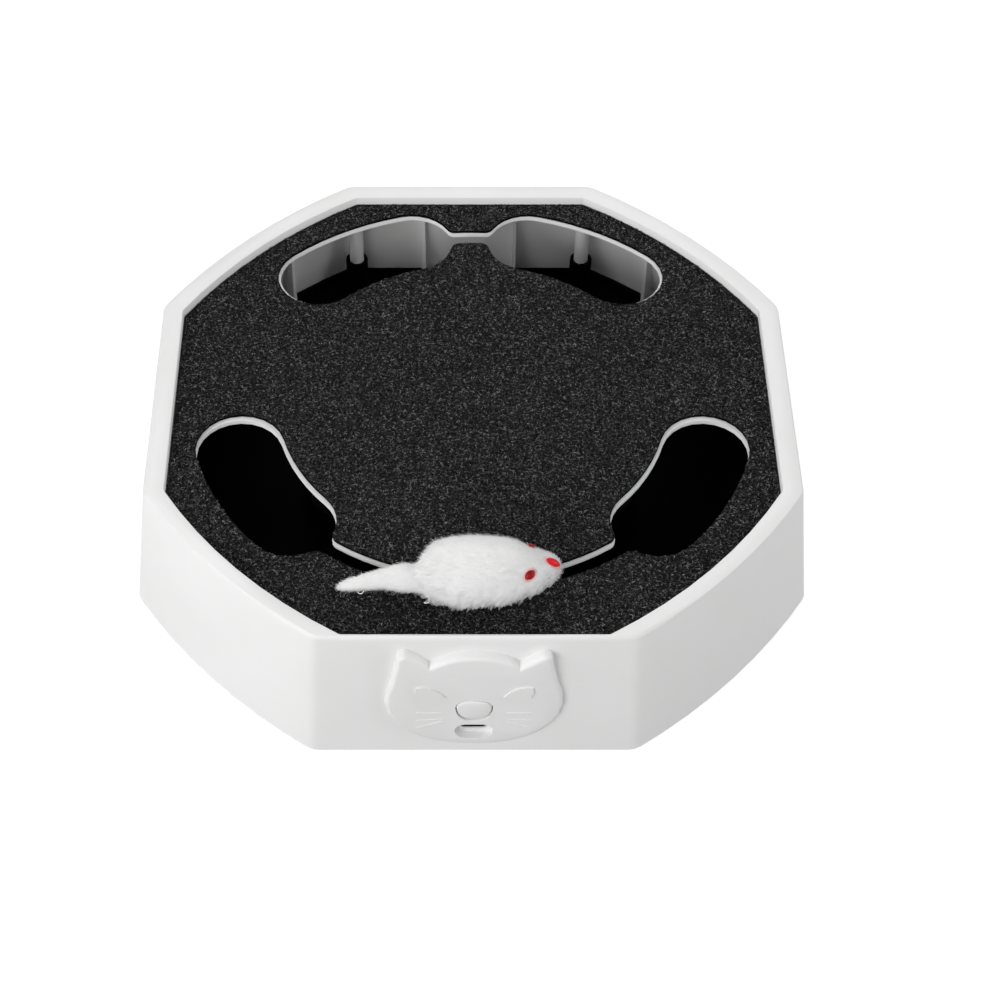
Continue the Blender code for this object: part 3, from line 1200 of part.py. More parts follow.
def make_leads():
    """Battery and motor leads along the floor to the socket on the board."""
    end_y = BOARD_BACK_Y + GAP * 2 + PLUG_DEEP
    start_y = BATTERY_Y - BATTERY_R - LEAD_R * 3
    middle = (start_y + end_y) / 2
    battery_x = BATTERY_HALF + GAP + BATTERY_TIP + GAP + LEAD_R
    motor_x = max(MOTOR_REACH, BATTERY_HALF) + GAP + LEAD_R
    ends = ((battery_x, BATTERY_Y, LEAD_ASIDE, "battery_lead"),
            (-motor_x, DRIVE_Y, -LEAD_ASIDE, "motor_lead"))
    for far_x, far_y, near_x, name in ends:
        points = [
            (near_x, end_y, PORT_Z),
            (near_x, end_y + LEAD_R * 2, PORT_Z),
            (near_x, end_y + PLUG_DEEP, LEAD_Z),
            (near_x, middle, LEAD_Z),
            (near_x, start_y - LEAD_R * 2, LEAD_Z),
            (far_x / 2, start_y, LEAD_Z),
            (far_x, start_y + LEAD_R * 4, LEAD_Z),
            (far_x, (start_y + far_y) / 2, LEAD_Z),
            (far_x, far_y, LEAD_Z),
        ]
        smooth(tube(name, points, [LEAD_R] * len(points), LEAD, sides=8))


def build():
    clear_scene()
    make_housing()
    make_mat()
    make_base()
    make_screws_and_feet()
    make_nose()
    make_board()
    make_drive()
    make_battery()
    make_cam()
    make_spindle()
    make_turntable()
    make_lever()
    make_mouse()
    make_leads()
    for item in bpy.data.objects:
        item.location.y -= CENTRE_SHIFT


build()
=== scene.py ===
"""Robotic mouse cat toy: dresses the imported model, lights it and sets the camera."""
import json
import math

import bmesh
import bpy
import numpy as np
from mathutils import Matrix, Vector, noise
from mathutils.bvhtree import BVHTree


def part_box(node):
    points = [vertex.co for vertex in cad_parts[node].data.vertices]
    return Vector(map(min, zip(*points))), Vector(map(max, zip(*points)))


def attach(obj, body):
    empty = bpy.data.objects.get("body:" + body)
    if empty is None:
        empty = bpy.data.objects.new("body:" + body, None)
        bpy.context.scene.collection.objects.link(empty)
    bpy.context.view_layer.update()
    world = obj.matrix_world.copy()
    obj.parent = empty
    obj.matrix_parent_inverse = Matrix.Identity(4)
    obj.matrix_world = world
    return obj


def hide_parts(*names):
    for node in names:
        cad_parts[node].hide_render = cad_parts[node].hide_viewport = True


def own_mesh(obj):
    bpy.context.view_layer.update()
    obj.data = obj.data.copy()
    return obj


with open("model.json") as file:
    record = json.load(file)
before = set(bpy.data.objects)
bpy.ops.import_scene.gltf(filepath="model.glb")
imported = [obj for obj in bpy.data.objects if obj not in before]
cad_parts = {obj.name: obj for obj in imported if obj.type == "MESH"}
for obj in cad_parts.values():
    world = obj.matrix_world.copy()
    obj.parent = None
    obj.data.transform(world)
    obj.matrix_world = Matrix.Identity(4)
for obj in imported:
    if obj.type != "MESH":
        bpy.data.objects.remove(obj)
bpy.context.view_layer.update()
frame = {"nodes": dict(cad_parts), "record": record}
NODES = frame["nodes"]
SCENE = bpy.context.scene
MM = 0.001


# ---------------------------------------------------------------- camera

# Fitted to the photograph: place in metres, tilt from straight down, lens and sensor in millimetres
CAMERA_PLACE = (-0.01114, -0.57117, 0.65267)
CAMERA_TILT_DEG = 40.94
CAMERA_LENS = 80.25
CAMERA_SENSOR = 36.0
CAMERA_SHIFT_X = 0.058
CAMERA_REACH = 20.0


def make_camera():
    data = bpy.data.cameras.new("camera")
    data.lens = CAMERA_LENS
    data.sensor_width = CAMERA_SENSOR
    data.sensor_fit = "HORIZONTAL"
    data.shift_x = CAMERA_SHIFT_X
    data.clip_end = CAMERA_REACH
    camera = bpy.data.objects.new("camera", data)
    camera.location = CAMERA_PLACE
    camera.rotation_euler = (math.radians(CAMERA_TILT_DEG), 0.0, 0.0)
    SCENE.collection.objects.link(camera)
    SCENE.camera = camera


# ------------------------------------------------------------- materials

STRAND_PAINT = "strand"


def grey(tone):
    return (tone, tone, tone)


def new_material(name, **sockets):
    """A Principled material; single values are set on the shader's own sockets."""
    material = bpy.data.materials.new(name)
    material.use_nodes = True
    shader = material.node_tree.nodes["Principled BSDF"]
    for socket, value in sockets.items():
        shader.inputs[socket.replace("_", " ")].default_value = value
    return material, material.node_tree, shader


def node(tree, kind, **settings):
    item = tree.nodes.new(kind)
    for key, value in settings.items():
        setattr(item, key, value)
    return item


def noise_at(tree, scale, detail=2.0, rough=0.5, stretch=None):
    """Noise in object space; scale is in waves per metre."""
    where = node(tree, "ShaderNodeTexCoord").outputs["Object"]
    if stretch:
        mapping = node(tree, "ShaderNodeMapping")
        mapping.inputs["Scale"].default_value = stretch
        tree.links.new(where, mapping.inputs["Vector"])
        where = mapping.outputs["Vector"]
    waves = node(tree, "ShaderNodeTexNoise")
    waves.inputs["Scale"].default_value = scale
    waves.inputs["Detail"].default_value = detail
    waves.inputs["Roughness"].default_value = rough
    tree.links.new(where, waves.inputs["Vector"])
    return waves.outputs["Fac"]


def ramp(tree, value, stops):
    """Colour from a value, by stops of place and colour."""
    item = node(tree, "ShaderNodeValToRGB")
    band = item.color_ramp
    while len(band.elements) < len(stops):
        band.elements.new(0.5)
    for element, (place, colour) in zip(band.elements, stops):
        element.position = place
        element.color = (*colour, 1.0)
    tree.links.new(value, item.inputs["Fac"])
    return item.outputs["Color"]


def spread(tree, value, low, high):
    """Maps 0..1 to low..high."""
    item = node(tree, "ShaderNodeMapRange")
    item.inputs["To Min"].default_value = low
    item.inputs["To Max"].default_value = high
    tree.links.new(value, item.inputs["Value"])
    return item.outputs["Result"]


def multiplied(tree, one, two):
    """One colour times another."""
    item = node(tree, "ShaderNodeMix", data_type="RGBA", blend_type="MULTIPLY")
    item.inputs["Factor"].default_value = 1.0
    tree.links.new(one, item.inputs["A"])
    tree.links.new(two, item.inputs["B"])
    return item.outputs["Result"]


def bump(tree, shader, value, strength, depth):
    item = node(tree, "ShaderNodeBump")
    item.inputs["Strength"].default_value = strength
    item.inputs["Distance"].default_value = depth
    tree.links.new(value, item.inputs["Height"])
    tree.links.new(item.outputs["Normal"], shader.inputs["Normal"])


def strand_channels(tree):
    """The strands' own paint: tone in red, which on the mouse holds painted shade too, stain in green.
    """
    paint = node(tree, "ShaderNodeVertexColor", layer_name=STRAND_PAINT)
    channels = node(tree, "ShaderNodeSeparateColor")
    tree.links.new(paint.outputs["Color"], channels.inputs["Color"])
    return channels.outputs


def moulded(name, low, high, rough=(0.42, 0.55), grain=1400.0, strength=0.12, **sockets):
    """Moulded plastic or rubber: faint tone drift, uneven gloss and a fine spark-eroded grain."""
    material, tree, shader = new_material(name, **sockets)
    tone = ramp(tree, noise_at(tree, 28.0, 3.0), ((0.3, low), (0.7, high)))
    tree.links.new(tone, shader.inputs["Base Color"])
    gloss = spread(tree, noise_at(tree, 160.0, 4.0), *rough)
    tree.links.new(gloss, shader.inputs["Roughness"])
    bump(tree, shader, noise_at(tree, grain, 3.0, 0.6), strength, 0.05 * MM)
    return material


def metal(name, low, high, rough=(0.18, 0.34), stretch=(1.0, 1.0, 14.0)):
    """Bright metal with fine drawn or turned lines."""
    material, tree, shader = new_material(name, Metallic=1.0)
    lines = noise_at(tree, 420.0, 3.0, 0.6, stretch)
    tree.links.new(ramp(tree, lines, ((0.35, low), (0.65, high))), shader.inputs["Base Color"])
    tree.links.new(spread(tree, lines, *rough), shader.inputs["Roughness"])
    bump(tree, shader, lines, 0.1, 0.03 * MM)
    return material


def felt_clumps(tree, tone):
    """Darkens and lightens a felt tone in clumps two thirds of a millimetre wide: random tone, with
    the darkest clumps painted shade of the felt's pits.
    """
    # Painted shade: the darkest clumps stand for the shade in the felt's pits.
    clumps = ramp(tree, noise_at(tree, 1050.0, 2.0, 0.6),
                  ((0.35, grey(0.10)), (0.50, grey(0.42)), (0.66, grey(1.0))))
    return multiplied(tree, tone, clumps)


def felt_material():
    """Needle felt: charcoal ground with painted shade in its pits, paler clumps and painted shade on
    its cut edges.
    """
    material, tree, shader = new_material("felt_charcoal", Roughness=0.95, Specular_IOR_Level=0.04)
    fine = noise_at(tree, 2100.0, 3.0, 0.7)
    tone = ramp(tree, fine, ((0.36, (0.011, 0.011, 0.0114)), (0.56, (0.033, 0.033, 0.0337)),
                             (0.76, (0.12, 0.12, 0.123))))
    facing = node(tree, "ShaderNodeNewGeometry")
    axes = node(tree, "ShaderNodeSeparateXYZ")
    tree.links.new(facing.outputs["Normal"], axes.inputs["Vector"])
    # Painted shade: faces of the felt that don't face up, its cut edges, are painted darker.
    cut_edge_painted_shade = ramp(tree, axes.outputs["Z"], ((0.3, grey(0.12)), (0.8, grey(1.0))))
    tree.links.new(multiplied(tree, felt_clumps(tree, tone), cut_edge_painted_shade), shader.inputs["Base Color"])
    bump(tree, shader, noise_at(tree, 1150.0, 4.0, 0.7), 0.8, 0.35 * MM)
    return material


def fibre_material(name, dark, pale):
    """Loose felt fibres: each strand has its own tone, with painted shade where they lie over the
    felt's pits.
    """
    material, tree, shader = new_material(name, Roughness=0.9, Specular_IOR_Level=0.06)
    colour = ramp(tree, strand_channels(tree)["Red"], ((0.0, dark), (1.0, pale)))
    tree.links.new(felt_clumps(tree, colour), shader.inputs["Base Color"])
    return material


FUR_STAIN = (0.90, 0.36, 0.36, 1.0)


def fur_material(name, base, shade):
    """White plush with a pink stain round the beads; it glows a little, painted light that stands
    in for the light passed on from hair to hair."""
    # Emission_Strength paints a faint glow of light into the fur, which is no lamp.
    material, tree, shader = new_material(name, Roughness=0.85, Specular_IOR_Level=0.25,
                                          Emission_Strength=0.06)
    channels = strand_channels(tree)
    tone = ramp(tree, channels["Red"], ((0.0, shade), (1.0, base)))
    mix = node(tree, "ShaderNodeMix", data_type="RGBA")
    tree.links.new(channels["Green"], mix.inputs["Factor"])
    tree.links.new(tone, mix.inputs["A"])
    mix.inputs["B"].default_value = FUR_STAIN
    tree.links.new(mix.outputs["Result"], shader.inputs["Base Color"])
    return material


def bead_material(name, dark, light):
    material, tree, shader = new_material(name, Specular_IOR_Level=0.3)
    tone = ramp(tree, noise_at(tree, 900.0, 3.0), ((0.35, dark), (0.7, light)))
    tree.links.new(tone, shader.inputs["Base Color"])
    tree.links.new(spread(tree, noise_at(tree, 1600.0, 3.0), 0.3, 0.5), shader.inputs["Roughness"])
    bump(tree, shader, noise_at(tree, 2400.0, 2.0), 0.1, 0.03 * MM)
    return material


WHITE = moulded("plastic_white", (0.80, 0.80, 0.795), (0.83, 0.83, 0.828), rough=(0.40, 0.5))
# Black plastic made far darker than moulded black, so that it also paints in the shade inside the
# housing.
BLACK_WITH_PAINTED_SHADE = moulded("plastic_black_painted_shade", (0.0008, 0.0008, 0.0009), (0.0016, 0.0016, 0.0017), rough=(0.55, 0.7),
                Specular_IOR_Level=0.05)
NYLON = moulded("nylon_natural", (0.62, 0.60, 0.54), (0.70, 0.68, 0.62))
RUBBER = moulded("rubber_foot", (0.02, 0.02, 0.021), (0.032, 0.032, 0.033), rough=(0.7, 0.85),
                 grain=900.0)
BOARD = moulded("solder_mask", (0.015, 0.10, 0.045), (0.022, 0.14, 0.06), rough=(0.3, 0.4),
                grain=500.0)
WRAP = moulded("cell_sleeve", (0.012, 0.03, 0.09), (0.02, 0.045, 0.12), rough=(0.25, 0.35),
               grain=300.0)
LEAD = moulded("lead_sleeve", (0.45, 0.02, 0.02), (0.58, 0.03, 0.03), rough=(0.45, 0.6))
STEEL = metal("steel_bright", (0.55, 0.55, 0.56), (0.68, 0.68, 0.69))
BRASS = metal("brass_bush", (0.62, 0.44, 0.20), (0.76, 0.56, 0.28))
FELT = felt_material()
FELT_FIBRE = fibre_material("felt_fibre", (0.011, 0.011, 0.0114), (0.34, 0.34, 0.346))
FUR = fur_material("plush_fur", (0.98, 0.98, 0.975), grey(0.80))
RED = bead_material("bead_red", (0.20, 0.0002, 0.0008), (0.38, 0.0008, 0.002))
RED_BRIGHT = bead_material("bead_red_bright", (0.58, 0.002, 0.009), (0.74, 0.005, 0.02))

SLOT_LOOKS = {
    "white_plastic": WHITE, "black_plastic": BLACK_WITH_PAINTED_SHADE, "natural_nylon": NYLON, "charcoal_felt": FELT,
    "bright_steel": STEEL, "bearing_brass": BRASS, "foot_rubber": RUBBER, "board_green": BOARD,
    "battery_wrap": WRAP, "mouse_fur": FUR, "mouse_red": RED, "lead_red": LEAD,
}


# ------------------------------------------------------- CAD nodes' looks

WELD = 0.002 * MM
FLAT_DEG = 0.6
SHARP_DEG = 32.0
NOSE_SHARP_DEG = 20.0
MAT_SHARP_DEG = 40.0
LIP_SHARP_DEG = 60.0
LEVEL_SLACK = 0.05 * MM
# How wide the moulded edges are softened
HOUSING_EDGE = 0.35 * MM
LIP_EDGE = 0.6 * MM
PAN_EDGE = 0.2 * MM
NOSE_EDGE = 0.25 * MM
SPRING_EDGE = 0.05 * MM
MAT_EDGE = 0.35 * MM
MAT_GAP = 0.3 * MM


def slot_of(name):
    """The record's material slot of a CAD node."""
    for part in frame["record"]["subparts"]:
        if part["node"] == name:
            return part["material_slot"]
    return None


def welded(name):
    """A copy of a CAD node's mesh with its doubled points joined and flat faces merged."""
    bm = bmesh.new()
    bm.from_mesh(NODES[name].data)
    bmesh.ops.remove_doubles(bm, verts=bm.verts, dist=WELD)
    bmesh.ops.dissolve_limit(bm, angle_limit=math.radians(FLAT_DEG), verts=bm.verts, edges=bm.edges)
    return bm


def new_piece(name, bm, look):
    mesh = bpy.data.meshes.new(name)
    bm.to_mesh(mesh)
    bm.free()
    mesh.materials.append(look)
    piece = bpy.data.objects.new(name, mesh)
    SCENE.collection.objects.link(piece)
    return piece


def shade(piece, angle_deg):
    """Smooth faces, with edges sharper than the angle kept."""
    bm = bmesh.new()
    bm.from_mesh(piece.data)
    for face in bm.faces:
        face.smooth = True
    for edge in bm.edges:
        edge.smooth = edge.calc_face_angle(math.pi) < math.radians(angle_deg)
    bm.to_mesh(piece.data)
    bm.free()


def round_lips(bm, level, width):
    """Rounds the convex edges that lie at one height, which are those of the deck's holes."""
    lips = [edge for edge in bm.edges
            if all(abs(vertex.co.z - level) < LEVEL_SLACK for vertex in edge.verts)
            and len(edge.link_faces) == 2 and edge.is_convex
            and edge.calc_face_angle(0.0) > math.radians(LIP_SHARP_DEG)]
    bmesh.ops.bevel(bm, geom=lips, offset=width, segments=4, profile=0.5, affect="EDGES",
                    clamp_overlap=True)


def dress(name, body, width, angle_deg=SHARP_DEG, lips=None):
    """Stands for a hard CAD node: same shape with its moulded edges softened."""
    slot = slot_of(name)
    bm = welded(name)
    if lips:
        round_lips(bm, *lips)
    piece = new_piece(name + "_skin", bm, SLOT_LOOKS[slot])
    shade(piece, angle_deg)
    soften = piece.modifiers.new("soft_edges", "BEVEL")
    soften.width = width
    soften.segments = 2
    soften.limit_method = "ANGLE"
    soften.angle_limit = math.radians(angle_deg)
    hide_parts(name)
    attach(piece, body)
    return piece


def dress_nodes():
    for name, item in NODES.items():
        item.data.materials.clear()
        item.data.materials.append(SLOT_LOOKS[slot_of(name)])
    deck_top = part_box("felt_mat")[0][2] - MAT_GAP
    dress("octagon_housing", "base", HOUSING_EDGE, lips=(deck_top, LIP_EDGE))
    dress("base_pan", "base", PAN_EDGE)
    dress("nose_button", "nose", NOSE_EDGE, NOSE_SHARP_DEG)
    dress_spring()


def dress_spring():
    """The nose's return spring, with softened edges and a mesh of its own."""
    spring = dress("nose_spring", "base", SPRING_EDGE)
    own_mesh(spring)


# -------------------------------------------------------------- strands

def strand_mesh(name, paths, sides, widths, paint, look, normals=None):
    """Flat ribbons: paths (n, k, 3), sides (n, 3) unit, widths (n, k) in metres, paint (n, k, 2).

    Where normals (n, 3) are given, they shade each ribbon like the skin that it grows from.
    """
    count, steps = paths.shape[:2]
    half = sides[:, None, :] * (widths[:, :, None] / 2)
    points = np.stack((paths - half, paths + half), axis=2).reshape(-1, 3)
    first = (np.arange(count)[:, None] * steps + np.arange(steps - 1)[None, :]).reshape(-1) * 2
    quads = np.stack((first, first + 1, first + 3, first + 2), axis=1)
    mesh = bpy.data.meshes.new(name)
    mesh.vertices.add(len(points))
    mesh.vertices.foreach_set("co", points.astype(np.float32).reshape(-1))
    mesh.loops.add(quads.size)
    mesh.loops.foreach_set("vertex_index", quads.astype(np.int32).reshape(-1))
    mesh.polygons.add(len(quads))
    mesh.polygons.foreach_set("loop_start", np.arange(len(quads), dtype=np.int32) * 4)
    mesh.polygons.foreach_set("use_smooth", np.ones(len(quads), dtype=bool))
    mesh.update(calc_edges=True)
    colours = np.ones((count, steps, 2, 4), dtype=np.float32)
    colours[..., :2] = paint[:, :, None, :]
    layer = mesh.color_attributes.new(STRAND_PAINT, "FLOAT_COLOR", "POINT")
    layer.data.foreach_set("color", colours.reshape(-1))
    if normals is not None:
        mesh.normals_split_custom_set_from_vertices(np.repeat(normals, steps * 2, axis=0).tolist())
    mesh.materials.append(look)
    piece = bpy.data.objects.new(name, mesh)
    SCENE.collection.objects.link(piece)
    return piece


def paint_whole(piece, colour):
    """The same strand paint all over a piece that has no strands of its own."""
    layer = piece.data.color_attributes.new(STRAND_PAINT, "FLOAT_COLOR", "POINT")
    layer.data.foreach_set("color", np.tile(colour, len(piece.data.vertices)))


def unit(vectors):
    return vectors / np.maximum(np.linalg.norm(vectors, axis=-1, keepdims=True), 1e-12)


def mesh_triangles(mesh):
    """Corners and smooth normals of a mesh's triangles, both (m, 3, 3)."""
    mesh.calc_loop_triangles()
    points = np.array([vertex.co for vertex in mesh.vertices])
    normals = np.array([vertex.normal for vertex in mesh.vertices])
    index = np.array([triangle.vertices for triangle in mesh.loop_triangles])
    return points[index], normals[index]


def face_crosses(corners):
    """Each triangle's normal, twice as long as its area."""
    return np.cross(corners[:, 1] - corners[:, 0], corners[:, 2] - corners[:, 0])


def scatter(rng, corners, normals, count):
    """Points spread evenly over triangles, with smooth normals; corners and normals (m, 3, 3)."""
    area = np.linalg.norm(face_crosses(corners), axis=1) / 2
    pick = rng.choice(len(corners), size=count, p=area / area.sum())
    u, v = rng.random(count), rng.random(count)
    flip = u + v > 1
    u[flip], v[flip] = 1 - u[flip], 1 - v[flip]
    weights = np.stack((1 - u - v, u, v), axis=1)[:, :, None]
    return (corners[pick] * weights).sum(axis=1), unit((normals[pick] * weights).sum(axis=1))


# ------------------------------------------------------------------ felt

FELT_FIBRES = 42000
FELT_LAYERS = 2
FELT_SEED = 11
UP = np.array((0.0, 0.0, 1.0))
UPWARD = 0.9
# A fibre's half length, sideways bend as a share of it, height, sunken ends, widths and taper
FIBRE_REACH = (0.45, 1.15)
FIBRE_CURL = 0.35
FIBRE_HUMP = (0.05, 0.30)
FIBRE_SINK = 0.05
FIBRE_WIDTH = (0.13, 0.30)
FIBRE_TAPER = np.array((0.6, 1.0, 0.5))
# Where along its reach a fibre is tested to lie on the mat, and how few fibres are pale
FIBRE_TEST = 0.5
FIBRE_PALE = 3.0


def on_mat(piece, points, high):
    """Which points (n, 2) lie over the mat, whose top is at a height."""
    tree = BVHTree.FromObject(piece, bpy.context.evaluated_depsgraph_get())
    down = Vector((0.0, 0.0, -1.0))
    hits = [tree.ray_cast(Vector((x, y, high + MM)), down, 2 * MM)[0] is not None for x, y in points]
    return np.array(hits)


def make_felt():
    mat = new_piece("felt_mat_cloth", welded("felt_mat"), FELT)
    shade(mat, MAT_SHARP_DEG)
    soften = mat.modifiers.new("cut_edges", "BEVEL")
    soften.width = MAT_EDGE
    soften.segments = 3
    soften.limit_method = "ANGLE"
    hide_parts("felt_mat")
    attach(mat, "base")
    corners = mesh_triangles(mat.data)[0]
    corners = corners[unit(face_crosses(corners))[:, 2] > UPWARD]
    top = corners[:, :, 2].max()
    naps = [felt_fibres("felt_nap_%d" % (layer + 1), FELT_SEED + layer, mat, corners, top)
            for layer in range(FELT_LAYERS)]


def felt_fibres(name, seed, mat, corners, top):
    """Curled fibres lying on the mat, each a ribbon bent sideways and humped up."""
    rng = np.random.default_rng(seed)
    roots = scatter(rng, corners, np.zeros_like(corners) + UP, FELT_FIBRES)[0]
    turn = rng.random(FELT_FIBRES) * 2 * math.pi
    along = np.stack((np.cos(turn), np.sin(turn), np.zeros_like(turn)), axis=1)
    across = np.stack((-np.sin(turn), np.cos(turn), np.zeros_like(turn)), axis=1)
    reach = rng.uniform(*FIBRE_REACH, FELT_FIBRES)[:, None] * MM
    curl = rng.normal(0.0, FIBRE_CURL, FELT_FIBRES)[:, None] * reach
    hump = rng.uniform(*FIBRE_HUMP, FELT_FIBRES)[:, None] * MM
    start = roots - along * reach - UP * FIBRE_SINK * MM
    middle = roots + across * curl + UP * hump
    end = roots + along * reach - UP * FIBRE_SINK * MM
    inside = on_mat(mat, (roots - along * reach * FIBRE_TEST)[:, :2], top)
    inside &= on_mat(mat, (roots + along * reach * FIBRE_TEST)[:, :2], top)
    paths = np.stack((start, middle, end), axis=1)[inside]
    widths = rng.uniform(*FIBRE_WIDTH, FELT_FIBRES)[:, None] * FIBRE_TAPER * MM
    paint = np.zeros((FELT_FIBRES, 3, 2))
    paint[:, :, 0] = (rng.random(FELT_FIBRES) ** FIBRE_PALE)[:, None]
    piece = strand_mesh(name, paths, across[inside], widths[inside], paint[inside], FELT_FIBRE)
    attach(piece, "base")
    return piece


# ----------------------------------------------------------------- mouse

# Sections of the mouse under its fur in millimetres, tail tip to snout: place along X, centre Y,
# centre Z, half width, half height
MOUSE_SECTIONS = (
    (-45.8, -94.2, 57.5, 0.9, 0.9), (-43.7, -94.0, 58.1, 1.6, 1.5), (-39.0, -93.7, 59.2, 2.2, 2.1),
    (-33.9, -93.4, 60.1, 2.8, 2.8), (-28.8, -93.3, 60.9, 3.4, 3.4), (-24.7, -93.3, 61.4, 4.5, 4.2),
    (-18.6, -93.2, 61.8, 5.2, 4.8), (-16.2, -92.8, 63.2, 7.0, 6.6), (-13.6, -92.4, 64.2, 9.2, 8.4),
    (-10.0, -92.5, 64.3, 10.7, 9.5), (-4.3, -92.7, 64.5, 11.6, 10.1), (1.8, -92.7, 64.7, 11.7, 9.9),
    (6.9, -92.6, 64.8, 11.3, 9.5), (12.0, -92.4, 64.7, 10.5, 8.8), (16.5, -92.2, 64.3, 9.0, 7.9),
    (22.2, -91.8, 63.7, 7.1, 6.6), (25.6, -91.2, 63.9, 5.2, 4.9), (28.0, -90.7, 64.1, 3.3, 3.2),
    (29.3, -90.4, 64.2, 1.0, 1.0),
)
MOUSE_RINGS = 96
MOUSE_SIDES = 48
# How much closer the rings lie at both ends, and the skin's lumps: waves per metre and height
RING_CROWDING = 0.06
SKIN_LUMPS = ((130.0, 0.35), (420.0, 0.12))
# The skin's paint is greyer than the hairs' tone: painted shade in the gaps between hairs.
SKIN_PAINTED_SHADE = (0.35, 0.0, 0.0, 1.0)


def smooth_rows(rows, places):
    """Cubic curve through rows keyed by their first column."""
    rows = np.array(rows)
    keys, values = rows[:, 0], rows[:, 1:]
    slopes = np.gradient(values, keys, axis=0)
    at = np.clip(np.searchsorted(keys, places) - 1, 0, len(keys) - 2)
    span = (keys[at + 1] - keys[at])[:, None]
    t = ((places - keys[at])[:, None]) / span
    a = (2 * t ** 3 - 3 * t ** 2 + 1) * values[at] + (t ** 3 - 2 * t ** 2 + t) * span * slopes[at]
    return a + (3 * t ** 2 - 2 * t ** 3) * values[at + 1] + (t ** 3 - t ** 2) * span * slopes[at + 1]


def mouse_point(x, turn_deg):
    """Point and outward normal of the skin, in metres; turn is from the top towards the viewer."""
    turn = math.radians(turn_deg)
    (y, z, wide, tall), = smooth_rows(MOUSE_SECTIONS, np.array((x,)))
    place = Vector((x, y - wide * math.sin(turn), z + tall * math.cos(turn))) * MM
    (ahead,) = smooth_rows(MOUSE_SECTIONS, np.array((x + 0.5,)))
    (behind,) = smooth_rows(MOUSE_SECTIONS, np.array((x - 0.5,)))
    slope = ((ahead[2] + ahead[3]) - (behind[2] + behind[3])) / 2
    normal = Vector((-slope, -math.sin(turn) / wide * tall, math.cos(turn))).normalized()
    return place, normal


def mouse_skin():
    """One plush skin over body, head and tail."""
    share = np.linspace(0.0, 1.0, MOUSE_RINGS)
    low, high = MOUSE_SECTIONS[0][0], MOUSE_SECTIONS[-1][0]
    places = low + (high - low) * (share + RING_CROWDING * np.sin(2 * math.pi * share) / math.pi)
    rings = smooth_rows(MOUSE_SECTIONS, places)
    bm = bmesh.new()
    loops = []
    for x, (y, z, wide, tall) in zip(places, rings):
        loop = []
        for i in range(MOUSE_SIDES):
            angle = 2 * math.pi * i / MOUSE_SIDES
            across, up = wide * math.cos(angle), tall * math.sin(angle)
            loop.append(bm.verts.new(Vector((x, y + across, z + up)) * MM))
        loops.append(loop)
    for one, two in zip(loops, loops[1:]):
        for i in range(MOUSE_SIDES):
            j = (i + 1) % MOUSE_SIDES
            bm.faces.new((one[i], two[i], two[j], one[j]))
    bm.faces.new(loops[0])
    bm.faces.new(reversed(loops[-1]))
    bmesh.ops.recalc_face_normals(bm, faces=bm.faces)
    bm.normal_update()
    for vertex in bm.verts:
        lump = sum(noise.noise(vertex.co * waves) * height for waves, height in SKIN_LUMPS)
        vertex.co += vertex.normal * lump * MM
    for face in bm.faces:
        face.smooth = True
    skin = new_piece("mouse_plush_skin", bm, FUR)
    paint_whole(skin, SKIN_PAINTED_SHADE)
    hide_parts("mouse_body", "mouse_head", "mouse_tail")
    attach(skin, "lever")
    return skin


# Beads: along X in millimetres, turn from the top towards the viewer in degrees, half length,
# half width, half depth in millimetres, tilt of the long axis in degrees
BEADS = {
    "mouse_eye_right": (18.4, 48.0, 2.1, 1.5, 0.9, 42.0),
    "mouse_eye_left": (18.9, -50.0, 1.9, 1.45, 0.9, -60.0),
    "mouse_nose": (26.4, 16.0, 2.8, 1.4, 1.0, -12.0),
}
BEAD_RINGS = 14
BEAD_SIDES = 28
# How much a bead narrows to its corners, how far it stands off the skin in millimetres
BEAD_CORNER = 0.30
BEAD_RAISE = 0.25
BEAD_WELD = 0.001 * MM


def bead(name, place, normal, sizes, tilt_deg, look):
    """Almond bead: a lens with drawn-out corners, lying on the skin.

    Gives its place and its two axes over their half lengths.
    """
    long, wide, deep = (value * MM for value in sizes)
    forward = Vector((1.0, 0.0, 0.0))
    forward = (forward - normal * forward.dot(normal)).normalized()
    side = normal.cross(forward)
    tilt = math.radians(tilt_deg)
    axis = forward * math.cos(tilt) + side * math.sin(tilt)
    cross = normal.cross(axis)
    bm = bmesh.new()
    grid = []
    for i in range(BEAD_RINGS + 1):
        fall = math.pi * i / BEAD_RINGS
        row = []
        for j in range(BEAD_SIDES):
            turn = 2 * math.pi * j / BEAD_SIDES
            out = math.sin(fall)
            narrow = 1 - BEAD_CORNER * abs(math.cos(turn)) ** 3
            x = long * out * math.cos(turn)
            y = wide * out * math.sin(turn) * narrow
            row.append(bm.verts.new(place + axis * x + cross * y + normal * deep * math.cos(fall)))
        grid.append(row)
    for one, two in zip(grid, grid[1:]):
        for j in range(BEAD_SIDES):
            k = (j + 1) % BEAD_SIDES
            bm.faces.new((one[j], two[j], two[k], one[k]))
    bmesh.ops.remove_doubles(bm, verts=bm.verts, dist=BEAD_WELD)
    bmesh.ops.recalc_face_normals(bm, faces=bm.faces)
    for face in bm.faces:
        face.smooth = True
    piece = new_piece(name + "_bead", bm, look)
    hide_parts(name)
    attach(piece, "lever")
    return np.array(place), np.array(axis) / long, np.array(cross) / wide


def make_beads():
    spots = []
    for name, (x, turn, *sizes, tilt) in BEADS.items():
        place, normal = mouse_point(x, turn)
        look = RED_BRIGHT if name == "mouse_nose" else RED
        spots.append(bead(name, place + normal * BEAD_RAISE * MM, normal, sizes, tilt, look))
    return spots


HAIRS = 33000
HAIR_LAYERS = 2
HAIR_STEPS = 4
FUR_SEED = 31
